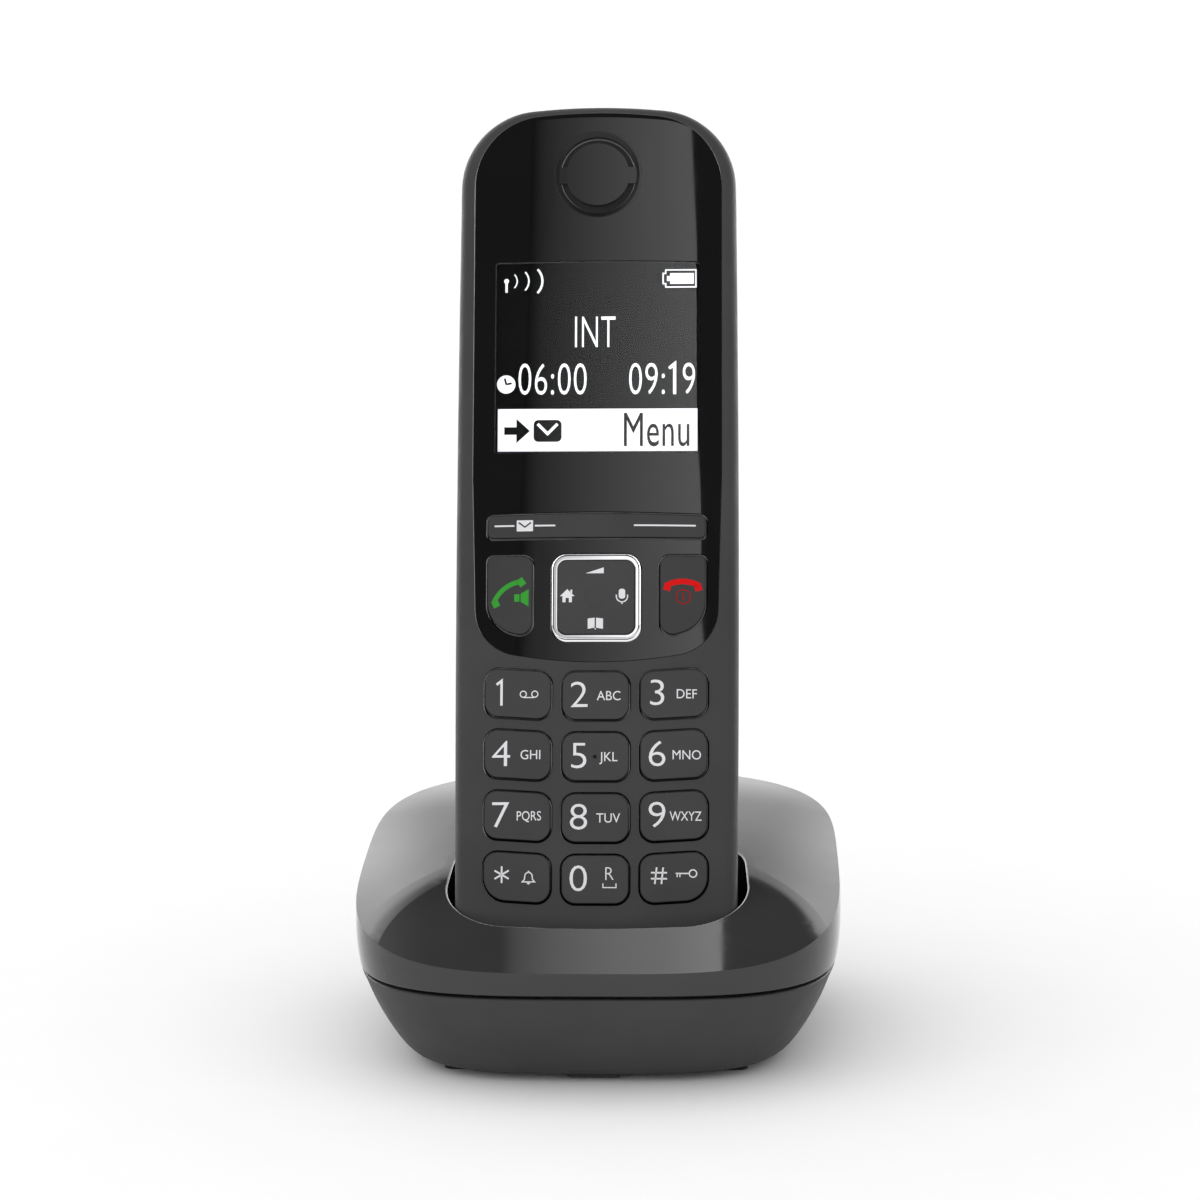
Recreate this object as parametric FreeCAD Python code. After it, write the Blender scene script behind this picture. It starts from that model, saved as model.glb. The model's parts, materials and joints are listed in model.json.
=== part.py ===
import FreeCAD, Part
import math
import os
from FreeCAD import Placement, Rotation, Vector

# Cordless phone standing in its charging base.  Millimetres.
# Row frame: origin on the table under the middle of the base, +Z up, the keypad faces -Y.
# The handset is drawn in its own axes: x across, y from the front face to the back, z from its
# foot to its top.  dock() then leans it back and stands it in the cradle.

# ---------------------------------------------------------------- driving dimensions: handset
HANDSET_LENGTH = 155.8
HANDSET_HALF_WIDTH = 24.15
SIDE_BOW = 0.45
SIDE_BOW_REACH = 0.6
TOP_CORNER_RADIUS = 13.5
TOP_CROWN_RISE = 1.4
TOP_BOW_REACH = 0.43
FOOT_CORNER_RADIUS = 9.5
FRONT_CROWN_RADIUS = 150.0
FRONT_EDGE_RADIUS = 2.2
BACK_EDGE_RADIUS = 8.5
BACK_TAPER_LOW = 0.0824
BACK_TAPER_HIGH = 0.0565
BACK_MIDDLE_HEIGHT = 85.0
BACK_BEND_RADIUS = 250.0
SIDE_WALL = 1.8
FRONT_WALL = 2.4
SPLIT_DEPTH = 12.1
SEAM_GAP = 0.2

# faceplate, display and earpiece
PANEL_THICKNESS = 1.2
PANEL_GAP = 0.12
PANEL_SIDE_INSET = 2.9
PANEL_TOP_INSET = 1.45
PANEL_TOP_BOW_REACH = 0.4
PANEL_FOOT = 58.9
PANEL_FOOT_RISE = 2.3
PANEL_FOOT_RADIUS = 8.0
PANEL_FOOT_BOW_REACH = 0.6
PANEL_WAIST = 0.8
PANEL_FLANK = 30.0
WINDOW_HALF_WIDTH = 17.6
WINDOW_FOOT = 94.9
WINDOW_HEIGHT = 33.4
WINDOW_RADIUS = 0.5
LENS_GAP = 0.1
LENS_RECESS = 0.25
LENS_THICKNESS = 0.8
LCD_MARGIN = 1.0
LCD_DEPTH = 2.6
LCD_THICKNESS = 1.3
LCD_FRAME_MARGIN = 2.0
EAR_BELOW_TOP = 12.3
EAR_RING_RADIUS = 7.6
EAR_SLOT_RADIUS = 6.7
EAR_DISC_RADIUS = 5.45
EAR_CHAMFER_DEPTH = 0.45
EAR_BRIDGE_WIDTH = 2.9
EAR_BRIDGE_RECESS = 0.6
EAR_HOLE_RADIUS = 6.5
EAR_MESH_DEPTH = 1.5
EAR_MESH_THICKNESS = 0.3
EAR_SPEAKER_RADIUS = 7.2
MIC_SLOT_LENGTH = 11.0
MIC_SLOT_HEIGHT = 0.8
MIC_SLOT_AT = 13.2

# keys
KEY_PROUD = 0.45
KEY_FOOT_DEPTH = 3.8
KEY_GAP = 0.3
KEY_EDGE_RADIUS = 0.35
KEY_RADIUS = 2.4
KEY_OUTER_FOOT_RADIUS = 4.0
KEY_PITCH_ACROSS = 13.2
KEY_PITCH_UP = 10.34
KEY_SPACE_ACROSS = 1.85
KEY_SPACE_UP = 2.14
KEY_SMILE = 0.75
KEYPAD_LOW_ROW = 22.05
SOFTKEY_HALF_LENGTH = 18.6
SOFTKEY_HEIGHT = 4.3
SOFTKEY_AT = 82.2
SOFTKEY_RADIUS = 0.9
SOFTKEY_ARCH = 0.3
SOFTKEY_ARCH_REACH = 0.5
CALL_KEY_INNER = 10.8
CALL_KEY_OUTER = 18.6
CALL_KEY_TOP = 77.1
CALL_KEY_FOOT = 62.8
CALL_KEY_SWEEP = 2.2
CALL_KEY_SWEEP_RADIUS = 5.6
CALL_KEY_INNER_FOOT_RADIUS = 2.2
CALL_KEY_INNER_TOP_RADIUS = 1.8
CALL_KEY_OUTER_TOP_RADIUS = 0.9
NAV_AT = 69.9
NAV_WIDTH = 15.0
NAV_HEIGHT = 14.6
NAV_RADIUS = 2.5
NAV_GAP = 0.3
NAV_PROUD = 0.4
NAV_RING_PROUD = 0.6
NAV_RING_WIDTH = 0.75
NAV_RING_GAP = 0.1
NAV_FOOT_DEPTH = 2.8
DIMPLE_RADIUS = 2.1
DIMPLE_DEPTH = 0.3
PIVOT_HALF = 4.0
PIVOT_THICKNESS = 0.8
PIVOT_POST_RADIUS = 1.2
PIVOT_GAP = 0.3

# inside the handset
MAT_DEPTH = 4.4
MAT_THICKNESS = 0.8
MAT_SIDE_GAP = 2.4
MAT_MARGIN = 1.6
BOARD_THICKNESS = 1.2
BOARD_SIDE_GAP = 2.2
BOARD_END_MARGIN = 6.0
BOARD_TOP_MARGIN = 7.0
BOARD_FOOT_RADIUS = 6.0
BOARD_TOP_RADIUS = 11.0
SHIELD_HEIGHT = 2.0
SHIELD_HALF_WIDTH = 14.0
SHIELD_LENGTH = 30.0
SHIELD_BELOW_TOP = 19.8
ANTENNA_HALF_WIDTH = 12.0
ANTENNA_HEIGHT = 1.0
ANTENNA_LENGTH = 2.5
ANTENNA_BELOW_TOP = 13.8
SPEAKER_GAP = 0.3
MIC_RADIUS = 2.0
MIC_GAP = 0.4
MIC_BELOW_SLOT = 0.2
CELL_RADIUS = 5.2
CELL_LENGTH = 44.5
CELL_FOOT = 47.2
CELL_NUB_RADIUS = 1.8
CELL_NUB_LENGTH = 1.0
CELL_SEAT_GAP = 0.1
CELL_SIDE_GAP = 0.4
CELL_COVER_GAP = 0.9
CONTACT_HALF_WIDTH = 3.5
CONTACT_HEIGHT = 8.0
CONTACT_THICKNESS = 0.4
CONTACT_GAP = 0.2
WELL_SIDE_MARGIN = 2.4
WELL_WALL = 2.0
WELL_FLOOR = 1.2
WELL_END_MARGIN = 1.6
WELL_TOP_MARGIN = 3.6
COVER_LAP = 1.0
COVER_GAP = 0.2
COVER_RADIUS = 4.0
GRIP_HALF_LENGTH = 5.0
GRIP_PITCH = 2.0
GRIP_WIDTH = 1.0
GRIP_DEPTH = 0.55
GRIP_ABOVE_BEND = 2.0
POST_RADIUS = 2.4
POST_CLEARANCE = 0.3
POST_BELOW_CELL_TOP = 2.3
SCREW_RADIUS = 1.0
SCREW_HEAD_RADIUS = 1.9
SCREW_HEAD_HEIGHT = 1.4
SCREW_SIDE_GAP = 0.9
SCREW_LENGTH = 6.0
SCREW_SLOT_HALF_LENGTH = 1.2
SCREW_SLOT_HALF_WIDTH = 0.25
SCREW_SLOT_DEPTH = 0.5
THREAD_GAP = 0.02
PAD_ACROSS = 9.0
PAD_AT = 13.5
PAD_WIDTH = 4.0
PAD_LENGTH = 6.0
PAD_RADIUS = 0.6
PAD_THICKNESS = 0.8
RINGER_BELOW_TOP = 33.8
RINGER_RADIUS = 8.0
RINGER_THICKNESS = 4.0
RINGER_GAP = 0.4
RINGER_SLOT_PITCH = 3.4
RINGER_SLOT_HALF_LENGTH = 6.0
RINGER_SLOT_HALF_WIDTH = 0.6

# ---------------------------------------------------------------- driving dimensions: base
LEAN = 16.0
FOOT_Y = -30.06
BASE_HALF_WIDTH = 41.5
BASE_EXTRA_DEPTH = 2.7
BASE_SQUARENESS = 3.6
SECTION_POINTS = 48
BASE_WALL = 2.0
SEAM_HEIGHT = 16.3
SEAM_OPEN = 0.6
SEAM_INSET = 0.6
SEAM_STEP = 0.1
BAND_RISES = (4.0, 13.0, 24.0)
BAND_DRAFTS = (0.0, 0.2, 1.4)
TONGUE_BELOW = 4.0
TONGUE_ABOVE = 1.6
TONGUE_WALL = 1.2
TONGUE_GAP = 0.1
UNDERSIDE_HEIGHT = 1.2
UNDERSIDE_INSET = 10.0
FLOOR_THICKNESS = 1.6
FLANK_POWER = 0.62
FLANK_SHARES = (0, 0.05, 0.18, 0.42, 0.72, 1)
DOME_RADIUS = 330.0
DOME_CENTRE_Y = 52.0
DOME_TOP = 37.4
SLOPE_RISE = 0.285
SLOPE_Y = -42.0
SLOPE_Z = 21.5
RIDGE_RADIUS = 35.0
LIP_RADIUS = 0.3
RIM_RADIUS = 0.4
CUP_WALL = 1.6
CUP_FRONT_GAP = 3.3
CUP_FRONT_BOW = 1.2
CUP_BOW_REACH = 0.45
CUP_SIDE_GAP = 2.5
CUP_BACK_NARROWING = 1.7
CUP_BACK_GAP = 3.9
CUP_FRONT_CORNER = 11.5
CUP_BACK_CORNER = 9.5
CUP_FLOOR_RADIUS = 6.5
CUP_FLOOR_GAP = 0.3
CUP_UNDER_GAP = 0.55
PIN_RADIUS = 1.5
PIN_FLANGE_RADIUS = 2.6
PIN_FLANGE_THICKNESS = 0.8
PIN_RUNNING_GAP = 0.06
PIN_TRAVEL = 1.0
PIN_PAD_GAP = 0.2
FOOT_PAD_LENGTH = 7.8
FOOT_PAD_WIDTH = 4.0
FOOT_PAD_RADIUS = 1.6
FOOT_PAD_SIDE_INSET = 9.8
FOOT_PAD_END_INSET = 8.7
FOOT_PAD_SEAT = 0.4
PAGE_KEY_WIDTH = 8.6
PAGE_KEY_DEPTH = 4.4
PAGE_KEY_RADIUS = 0.5
PAGE_KEY_INSET = 2.7
PAGE_KEY_LOW = 0.5
PAGE_KEY_TRAVEL = 0.6
PAGE_KEY_GAP = 0.2
PAGE_FLANGE_MARGIN = 0.8
PAGE_FLANGE_THICKNESS = 0.8
SWITCH_GAP = 0.2
SWITCH_HEIGHT = 2.2
SWITCH_HALF_LENGTH = 3.0
SWITCH_WIDTH = 4.0
BASE_BOARD_LENGTH = 28.0
BASE_BOARD_HALF_WIDTH = 20.0
BASE_BOARD_HEIGHT = 5.0
BASE_BOARD_RADIUS = 3.0
BASE_BOARD_BEHIND = 5.7
BOARD_POST_RADIUS = 2.0
BOARD_POST_INSET = 3.0
BOARD_POST_BACK_INSET = 9.0
BASE_SHIELD_HALF_WIDTH = 9.0
BASE_SHIELD_LENGTH = 15.0
BASE_SHIELD_HEIGHT = 3.0
BASE_SHIELD_INSET = 2.5
BASE_ANTENNA_X = 12.0
BASE_ANTENNA_LENGTH = 6.0
BASE_ANTENNA_THICKNESS = 1.0
BASE_ANTENNA_HEIGHT = 9.0
BASE_ANTENNA_INSET = 4.5
SOCKET_RECESS = 9.0
SOCKET_LENGTH = 13.0
SOCKET_HEIGHT = 8.6
SOCKET_END_WALL = 2.0
SOCKET_HOLE_GAP = 0.3
SOCKET_TONGUE = 1.0
LINE_SOCKET_WIDTH = 11.0
POWER_SOCKET_WIDTH = 9.0
LINE_SOCKET_X = -10.0
POWER_SOCKET_X = 8.0
SOCKET_WALL = 1.2
BASE_POST_X = 24.6
BASE_POST_Y = 10.0
BASE_POST_RADIUS = 3.2
POST_JOINT = 0.45
BASE_SCREW_TOP = 12.0
BASE_SCREW_RECESS = 0.1

# clearances shared by several pieces, and sizes for cutting tools
TOUCH = 0.05
SHORT = 2.0
AHEAD = -6.0
FAR = 60.0

# ---------------------------------------------------------------- sizes that follow from those
PANEL_HALF_WIDTH = HANDSET_HALF_WIDTH - PANEL_SIDE_INSET
EAR_HEIGHT = HANDSET_LENGTH - EAR_BELOW_TOP
RINGER_AT = HANDSET_LENGTH - RINGER_BELOW_TOP
KEY_WIDTH = KEY_PITCH_ACROSS - KEY_SPACE_ACROSS
KEY_HEIGHT = KEY_PITCH_UP - KEY_SPACE_UP
WELL_DEPTH = SPLIT_DEPTH + SEAM_GAP / 2
CELL_TOP = CELL_FOOT + CELL_LENGTH
POST_ACROSS = 2 * CELL_RADIUS + CELL_SIDE_GAP + SCREW_HEAD_RADIUS + SCREW_SIDE_GAP
POST_AT = CELL_TOP - POST_BELOW_CELL_TOP
WELL_HALF_WIDTH = POST_ACROSS + WELL_SIDE_MARGIN
BACK_DEPTH_AT_CELL_FOOT = WELL_DEPTH + CELL_SEAT_GAP + 2 * CELL_RADIUS + CELL_COVER_GAP + SIDE_WALL
BACK_DEPTH_FOOT = BACK_DEPTH_AT_CELL_FOOT - BACK_TAPER_LOW * CELL_FOOT
BACK_DEPTH_MIDDLE = BACK_DEPTH_FOOT + BACK_TAPER_LOW * BACK_MIDDLE_HEIGHT
SEAM_HALF_WIDTH = BASE_HALF_WIDTH - SEAM_INSET
UNDERSIDE_HALF_WIDTH = BASE_HALF_WIDTH - UNDERSIDE_INSET
UNDERSIDE_HALF_DEPTH = UNDERSIDE_HALF_WIDTH + BASE_EXTRA_DEPTH
FLOOR_TOP = UNDERSIDE_HEIGHT + FLOOR_THICKNESS
COVER_FOOT = SEAM_HEIGHT + SEAM_OPEN
CUP_FRONT_HALF_WIDTH = HANDSET_HALF_WIDTH - SIDE_BOW + CUP_SIDE_GAP
CUP_BACK_HALF_WIDTH = CUP_FRONT_HALF_WIDTH - CUP_BACK_NARROWING
CUP_BACK_DEPTH = BACK_DEPTH_FOOT + CUP_BACK_GAP
FOOT_PAD_ACROSS = UNDERSIDE_HALF_WIDTH - FOOT_PAD_SIDE_INSET
FOOT_PAD_FRONT = UNDERSIDE_HALF_DEPTH - FOOT_PAD_END_INSET
PAGE_KEY_Y = -UNDERSIDE_HALF_DEPTH + PAGE_KEY_INSET
SOCKET_MOUTH_Y = BASE_HALF_WIDTH + BASE_EXTRA_DEPTH - SOCKET_RECESS
SOCKET_LOW = BASE_BOARD_HEIGHT + BOARD_THICKNESS
BASE_BOARD_Y = SOCKET_MOUTH_Y - BASE_BOARD_BEHIND - BASE_BOARD_LENGTH

# The cradle's lowest point, at its rounded back corner, clears the floor of the base.
CUP_LOW_RADIUS = CUP_FLOOR_RADIUS + CUP_WALL
CUP_LOW_Y = CUP_BACK_DEPTH - CUP_FLOOR_RADIUS
CUP_LOW_Z = CUP_FLOOR_RADIUS - CUP_FLOOR_GAP
FOOT_Z = (FLOOR_TOP + CUP_UNDER_GAP + CUP_LOW_RADIUS
          + CUP_LOW_Y * math.sin(math.radians(LEAN)) - CUP_LOW_Z * math.cos(math.radians(LEAN)))


# ---------------------------------------------------------------- drawing helpers
def rounded(points, place):
    """Closed wire through (u, v, radius) corners; place turns (u, v) into a point in space."""
    count = len(points)
    starts = []
    middles = []
    ends = []
    for index in range(count):
        u, v, radius = points[index]
        before = points[index - 1]
        after = points[(index + 1) % count]
        arrive = unit(u - before[0], v - before[1])
        leave = unit(after[0] - u, after[1] - v)
        turn = abs(math.atan2(arrive[0] * leave[1] - arrive[1] * leave[0],
                              arrive[0] * leave[0] + arrive[1] * leave[1]))
        cut_back = radius * math.tan(turn / 2)
        inward = unit(leave[0] - arrive[0], leave[1] - arrive[1])
        sink = radius / math.cos(turn / 2) - radius
        starts.append(place(u - arrive[0] * cut_back, v - arrive[1] * cut_back))
        middles.append(place(u + inward[0] * sink, v + inward[1] * sink))
        ends.append(place(u + leave[0] * cut_back, v + leave[1] * cut_back))
    edges = []
    for index in range(count):
        if points[index][2] > 0:
            edges.append(Part.Arc(starts[index], middles[index], ends[index]).toShape())
        following = starts[(index + 1) % count]
        if ends[index].distanceToPoint(following) > 1e-6:
            edges.append(Part.LineSegment(ends[index], following).toShape())
    return Part.Wire(edges)


def unit(u, v):
    length = math.hypot(u, v)
    return (u / length, v / length)


def bulge(rise, half_span, reach):
    """Corner height and radius that give a side of this half span a crown of this rise."""
    angle = rise / (half_span - reach / 2)
    return half_span * angle, reach / angle


def facing(y):
    """The plane parallel to the handset's face at depth y."""
    return lambda u, v: Vector(u, y, v)


def level(z):
    """The horizontal plane at height z."""
    return lambda u, v: Vector(u, v, z)


def sideways(x):
    """The side-view plane at x."""
    return lambda u, v: Vector(x, u, v)


def rectangle(u, v, half_width, half_height, radius, place):
    corners = [(u - half_width, v - half_height), (u + half_width, v - half_height),
               (u + half_width, v + half_height), (u - half_width, v + half_height)]
    return rounded([(a, b, radius) for a, b in corners], place)


def grown(wire, amount):
    return wire.makeOffset2D(amount)


def prism(wire, direction):
    return Part.Face(wire).extrude(direction)


def box(low, high):
    size = Vector(*high) - Vector(*low)
    return Part.makeBox(size.x, size.y, size.z, Vector(*low))


def inward_box(x, z, half_width, half_height, depth, thickness):
    """A block behind the handset's face: centred on x and z, starting at a depth."""
    return box((x - half_width, depth, z - half_height),
               (x + half_width, depth + thickness, z + half_height))


def rod(radius, start, end):
    axis = Vector(*end) - Vector(*start)
    return Part.makeCylinder(radius, axis.Length, Vector(*start), axis)


def fused(shapes):
    result = shapes[0].fuse(shapes[1:])
    return result.removeSplitter()


def edges_where(shape, test):
    return [edge for edge in shape.Edges if test(edge)]


def middle_of(edge):
    return edge.valueAt((edge.FirstParameter + edge.LastParameter) / 2)


def rim_at(shape, z):
    """Edges that lie at one height."""
    return edges_where(shape, lambda edge: abs(middle_of(edge).z - z) < TOUCH and edge.BoundBox.ZLength < 1)


def dock(shape):
    """Stands a piece drawn in the handset's axes in the cradle."""
    placed = shape.copy()
    placed.Placement = Placement(Vector(0, FOOT_Y, FOOT_Z), Rotation(Vector(1, 0, 0), -LEAN))
    return placed


# ---------------------------------------------------------------- handset envelope
def crown_body(depth):
    """Everything behind the crowned front face sunk by depth."""
    radius = FRONT_CROWN_RADIUS - depth
    return Part.makeCylinder(radius, HANDSET_LENGTH + 2 * FAR, Vector(0, FRONT_CROWN_RADIUS, -FAR))


def handset_outline(y):
    """The handset seen from the front: sides and top a little bowed."""
    half_length = HANDSET_LENGTH / 2
    end_half_width = HANDSET_HALF_WIDTH - SIDE_BOW
    side, side_radius = bulge(SIDE_BOW, half_length, SIDE_BOW_REACH * half_length)
    top, top_radius = bulge(TOP_CROWN_RISE, end_half_width, TOP_BOW_REACH * end_half_width)
    shoulder = HANDSET_LENGTH - TOP_CROWN_RISE
    middle = end_half_width + side
    return rounded([(-end_half_width, 0, FOOT_CORNER_RADIUS),
                    (end_half_width, 0, FOOT_CORNER_RADIUS),
                    (middle, half_length, side_radius),
                    (end_half_width, shoulder, TOP_CORNER_RADIUS),
                    (0, shoulder + top, top_radius),
                    (-end_half_width, shoulder, TOP_CORNER_RADIUS),
                    (-middle, half_length, side_radius)], facing(y))


def back_depth(z):
    """Depth of the back face, before its bend is rounded."""
    if z < BACK_MIDDLE_HEIGHT:
        return BACK_DEPTH_FOOT + BACK_TAPER_LOW * z
    return BACK_DEPTH_MIDDLE - BACK_TAPER_HIGH * (z - BACK_MIDDLE_HEIGHT)


def back_limit(inset):
    low = -FAR
    high = HANDSET_LENGTH + FAR
    wire = rounded([(low, low, 0), (back_depth(low), low, 0),
                    (BACK_DEPTH_MIDDLE, BACK_MIDDLE_HEIGHT, BACK_BEND_RADIUS),
                    (back_depth(high), high, 0), (low, high, 0)], sideways(-FAR))
    if inset > 0:
        wire = grown(wire, -inset)
    return prism(wire, Vector(2 * FAR, 0, 0))


def handset_block(inset, front_inset):
    """The closed handset shape, shrunk by inset at the sides and back."""
    outline = handset_outline(-FAR / 2)
    if inset > 0:
        outline = grown(outline, -inset)
    block = prism(outline, Vector(0, 2 * FAR, 0))
    block = block.common(crown_body(front_inset))
    block = block.common(back_limit(inset))
    foot = inset + SHORT / 2
    top = HANDSET_LENGTH - inset - SHORT

    def on_back_rim(edge):
        bounds = edge.BoundBox
        is_the_bend = bounds.ZLength < TOUCH and foot < bounds.ZMin < top
        return bounds.YMin > SPLIT_DEPTH and not is_the_bend

    block = block.makeFillet(BACK_EDGE_RADIUS - inset, edges_where(block, on_back_rim))
    if front_inset == 0:
        block = block.makeFillet(FRONT_EDGE_RADIUS, front_rim(block))
    return block


def front_rim(block):
    side_depth = FRONT_CROWN_RADIUS - math.sqrt(FRONT_CROWN_RADIUS ** 2 - HANDSET_HALF_WIDTH ** 2)
    return edges_where(block, lambda edge: edge.BoundBox.YMax < side_depth + TOUCH)


# ---------------------------------------------------------------- faceplate and keys
def panel_outline(y):
    """The gloss faceplate: follows the handset's top, ends below the call keys in a wide U."""
    top, top_radius = bulge(TOP_CROWN_RISE, PANEL_HALF_WIDTH, PANEL_TOP_BOW_REACH * PANEL_HALF_WIDTH)
    shoulder = HANDSET_LENGTH - PANEL_TOP_INSET - TOP_CROWN_RISE
    shoulder_radius = TOP_CORNER_RADIUS - PANEL_TOP_INSET
    waist = PANEL_HALF_WIDTH - PANEL_WAIST
    foot, foot_radius = bulge(PANEL_FOOT_RISE, waist, PANEL_FOOT_BOW_REACH * waist)
    foot_corner = PANEL_FOOT + PANEL_FOOT_RISE
    flank = foot_corner + PANEL_FLANK
    return rounded([(0, foot_corner - foot, foot_radius),
                    (waist, foot_corner, PANEL_FOOT_RADIUS),
                    (PANEL_HALF_WIDTH, flank, 0),
                    (PANEL_HALF_WIDTH, shoulder, shoulder_radius),
                    (0, shoulder + top, top_radius),
                    (-PANEL_HALF_WIDTH, shoulder, shoulder_radius),
                    (-PANEL_HALF_WIDTH, flank, 0),
                    (-waist, foot_corner, PANEL_FOOT_RADIUS)], facing(y))


def window_outline(y, margin):
    return rectangle(0, WINDOW_FOOT + WINDOW_HEIGHT / 2, WINDOW_HALF_WIDTH + margin,
                     WINDOW_HEIGHT / 2 + margin, WINDOW_RADIUS, facing(y))


def softkey_outline(y):
    arch, arch_radius = bulge(SOFTKEY_ARCH, SOFTKEY_HALF_LENGTH, SOFTKEY_ARCH_REACH * SOFTKEY_HALF_LENGTH)
    low = SOFTKEY_AT - SOFTKEY_HEIGHT / 2
    high = SOFTKEY_AT + SOFTKEY_HEIGHT / 2 - SOFTKEY_ARCH
    return rounded([(-SOFTKEY_HALF_LENGTH, low, SOFTKEY_RADIUS),
                    (SOFTKEY_HALF_LENGTH, low, SOFTKEY_RADIUS),
                    (SOFTKEY_HALF_LENGTH, high, SOFTKEY_RADIUS),
                    (0, high + arch, arch_radius),
                    (-SOFTKEY_HALF_LENGTH, high, SOFTKEY_RADIUS)], facing(y))


def call_outline(side, y):
    """Talk key (side -1) or end key (side +1), its outer foot swept like the faceplate."""
    corners = [(CALL_KEY_INNER, CALL_KEY_FOOT, CALL_KEY_INNER_FOOT_RADIUS),
               (CALL_KEY_OUTER, CALL_KEY_FOOT + CALL_KEY_SWEEP, CALL_KEY_SWEEP_RADIUS),
               (CALL_KEY_OUTER, CALL_KEY_TOP, CALL_KEY_OUTER_TOP_RADIUS),
               (CALL_KEY_INNER, CALL_KEY_TOP, CALL_KEY_INNER_TOP_RADIUS)]
    return rounded([(side * x, z, radius) for x, z, radius in corners], facing(y))


def nav_outline(y, margin):
    return rectangle(0, NAV_AT, NAV_WIDTH / 2 + margin, NAV_HEIGHT / 2 + margin,
                     NAV_RADIUS + margin, facing(y))


KEY_NAMES = [["key_star", "key_0", "key_hash"], ["key_7", "key_8", "key_9"],
             ["key_4", "key_5", "key_6"], ["key_1", "key_2", "key_3"]]


def keypad_outline(row, column, y):
    """One of the twelve keys; the outer columns lift towards the sides like a smile."""
    x = (column - 1) * KEY_PITCH_ACROSS
    z = KEYPAD_LOW_ROW + row * KEY_PITCH_UP
    lift = (column - 1) * KEY_SMILE / 2
    centre_lift = abs(lift)
    left = z - lift + centre_lift
    right = z + lift + centre_lift
    half_width = KEY_WIDTH / 2
    half_height = KEY_HEIGHT / 2
    left_foot = KEY_OUTER_FOOT_RADIUS if row == 0 and column == 0 else KEY_RADIUS
    right_foot = KEY_OUTER_FOOT_RADIUS if row == 0 and column == 2 else KEY_RADIUS
    return rounded([(x - half_width, left - half_height, left_foot),
                    (x + half_width, right - half_height, right_foot),
                    (x + half_width, right + half_height, KEY_RADIUS),
                    (x - half_width, left + half_height, KEY_RADIUS)], facing(y))


def key_body(outline, proud, foot_depth):
    """A key cap: the outline, drawn ahead of the face, carried back to its foot under a crowned top."""
    cap = prism(outline, Vector(0, foot_depth - AHEAD, 0)).common(crown_body(-proud))
    rim = edges_where(cap, lambda edge: edge.BoundBox.YMax < foot_depth - TOUCH)
    return cap.makeFillet(KEY_EDGE_RADIUS, rim)


def key_shapes():
    shapes = {
        "softkey_bar": key_body(softkey_outline(AHEAD), KEY_PROUD, KEY_FOOT_DEPTH),
        "talk_key": key_body(call_outline(-1, AHEAD), KEY_PROUD, KEY_FOOT_DEPTH),
        "end_key": key_body(call_outline(1, AHEAD), KEY_PROUD, KEY_FOOT_DEPTH),
    }
    for row in range(len(KEY_NAMES)):
        for column in range(len(KEY_NAMES[row])):
            cap = key_body(keypad_outline(row, column, AHEAD), KEY_PROUD, KEY_FOOT_DEPTH)
            shapes[KEY_NAMES[row][column]] = cap
    shapes.update(nav_shapes())
    return shapes


def nav_shapes():
    """Rocking navigation key, its plated ring and the small plate under it."""
    ring = key_body(nav_outline(AHEAD, 0), NAV_RING_PROUD, NAV_FOOT_DEPTH)
    ring = ring.cut(prism(nav_outline(AHEAD, -NAV_RING_WIDTH), Vector(0, FAR, 0)))
    inner = nav_outline(AHEAD, -NAV_RING_WIDTH - NAV_RING_GAP)
    cap = key_body(inner, NAV_PROUD, NAV_FOOT_DEPTH)
    ball_radius = (DIMPLE_RADIUS ** 2 + DIMPLE_DEPTH ** 2) / (2 * DIMPLE_DEPTH)
    dimple = Part.makeSphere(ball_radius, Vector(0, DIMPLE_DEPTH - NAV_PROUD - ball_radius, NAV_AT))
    top = NAV_FOOT_DEPTH + PIVOT_GAP
    plate = inward_box(0, NAV_AT, PIVOT_HALF, PIVOT_HALF, top, PIVOT_THICKNESS)
    post = rod(PIVOT_POST_RADIUS, (0, top, NAV_AT), (0, MAT_DEPTH - 2 * TOUCH, NAV_AT))
    return {"nav_ring": ring, "nav_key": cap.cut(dimple), "nav_pivot": fused([plate, post])}


def key_holes():
    """Openings for every key, through the faceplate and the front shell."""
    outlines = [softkey_outline(AHEAD), call_outline(-1, AHEAD), call_outline(1, AHEAD)]
    for row in range(len(KEY_NAMES)):
        outlines += [keypad_outline(row, column, AHEAD) for column in range(len(KEY_NAMES[row]))]
    wires = [grown(outline, KEY_GAP) for outline in outlines]
    wires.append(grown(nav_outline(AHEAD, 0), NAV_GAP))
    return [prism(wire, Vector(0, KEY_FOOT_DEPTH - AHEAD, 0)) for wire in wires]


# ---------------------------------------------------------------- handset pieces
def well_limits(margin):
    """Low and high corner of the battery well's inside, grown by margin in its own plane."""
    low = (-WELL_HALF_WIDTH - margin, WELL_DEPTH, CELL_FOOT - WELL_END_MARGIN - margin)
    high = (WELL_HALF_WIDTH + margin, FAR, CELL_TOP + WELL_TOP_MARGIN + margin)
    return low, high


def cover_outline(y, margin):
    low, high = well_limits(COVER_LAP + margin)
    return rectangle(0, (low[2] + high[2]) / 2, high[0], (high[2] - low[2]) / 2,
                     COVER_RADIUS, facing(y))


def handset_shells(outer, cavity):
    wall = outer.cut(cavity)
    split = SEAM_GAP / 2
    front = wall.common(box((-FAR, -FAR, -FAR), (FAR, SPLIT_DEPTH - split, HANDSET_LENGTH + FAR)))
    rear = wall.common(box((-FAR, SPLIT_DEPTH + split, -FAR), (FAR, FAR, HANDSET_LENGTH + FAR)))
    return front, rear


def screw_spots():
    return [side * POST_ACROSS for side in (-1, 1)]


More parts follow.
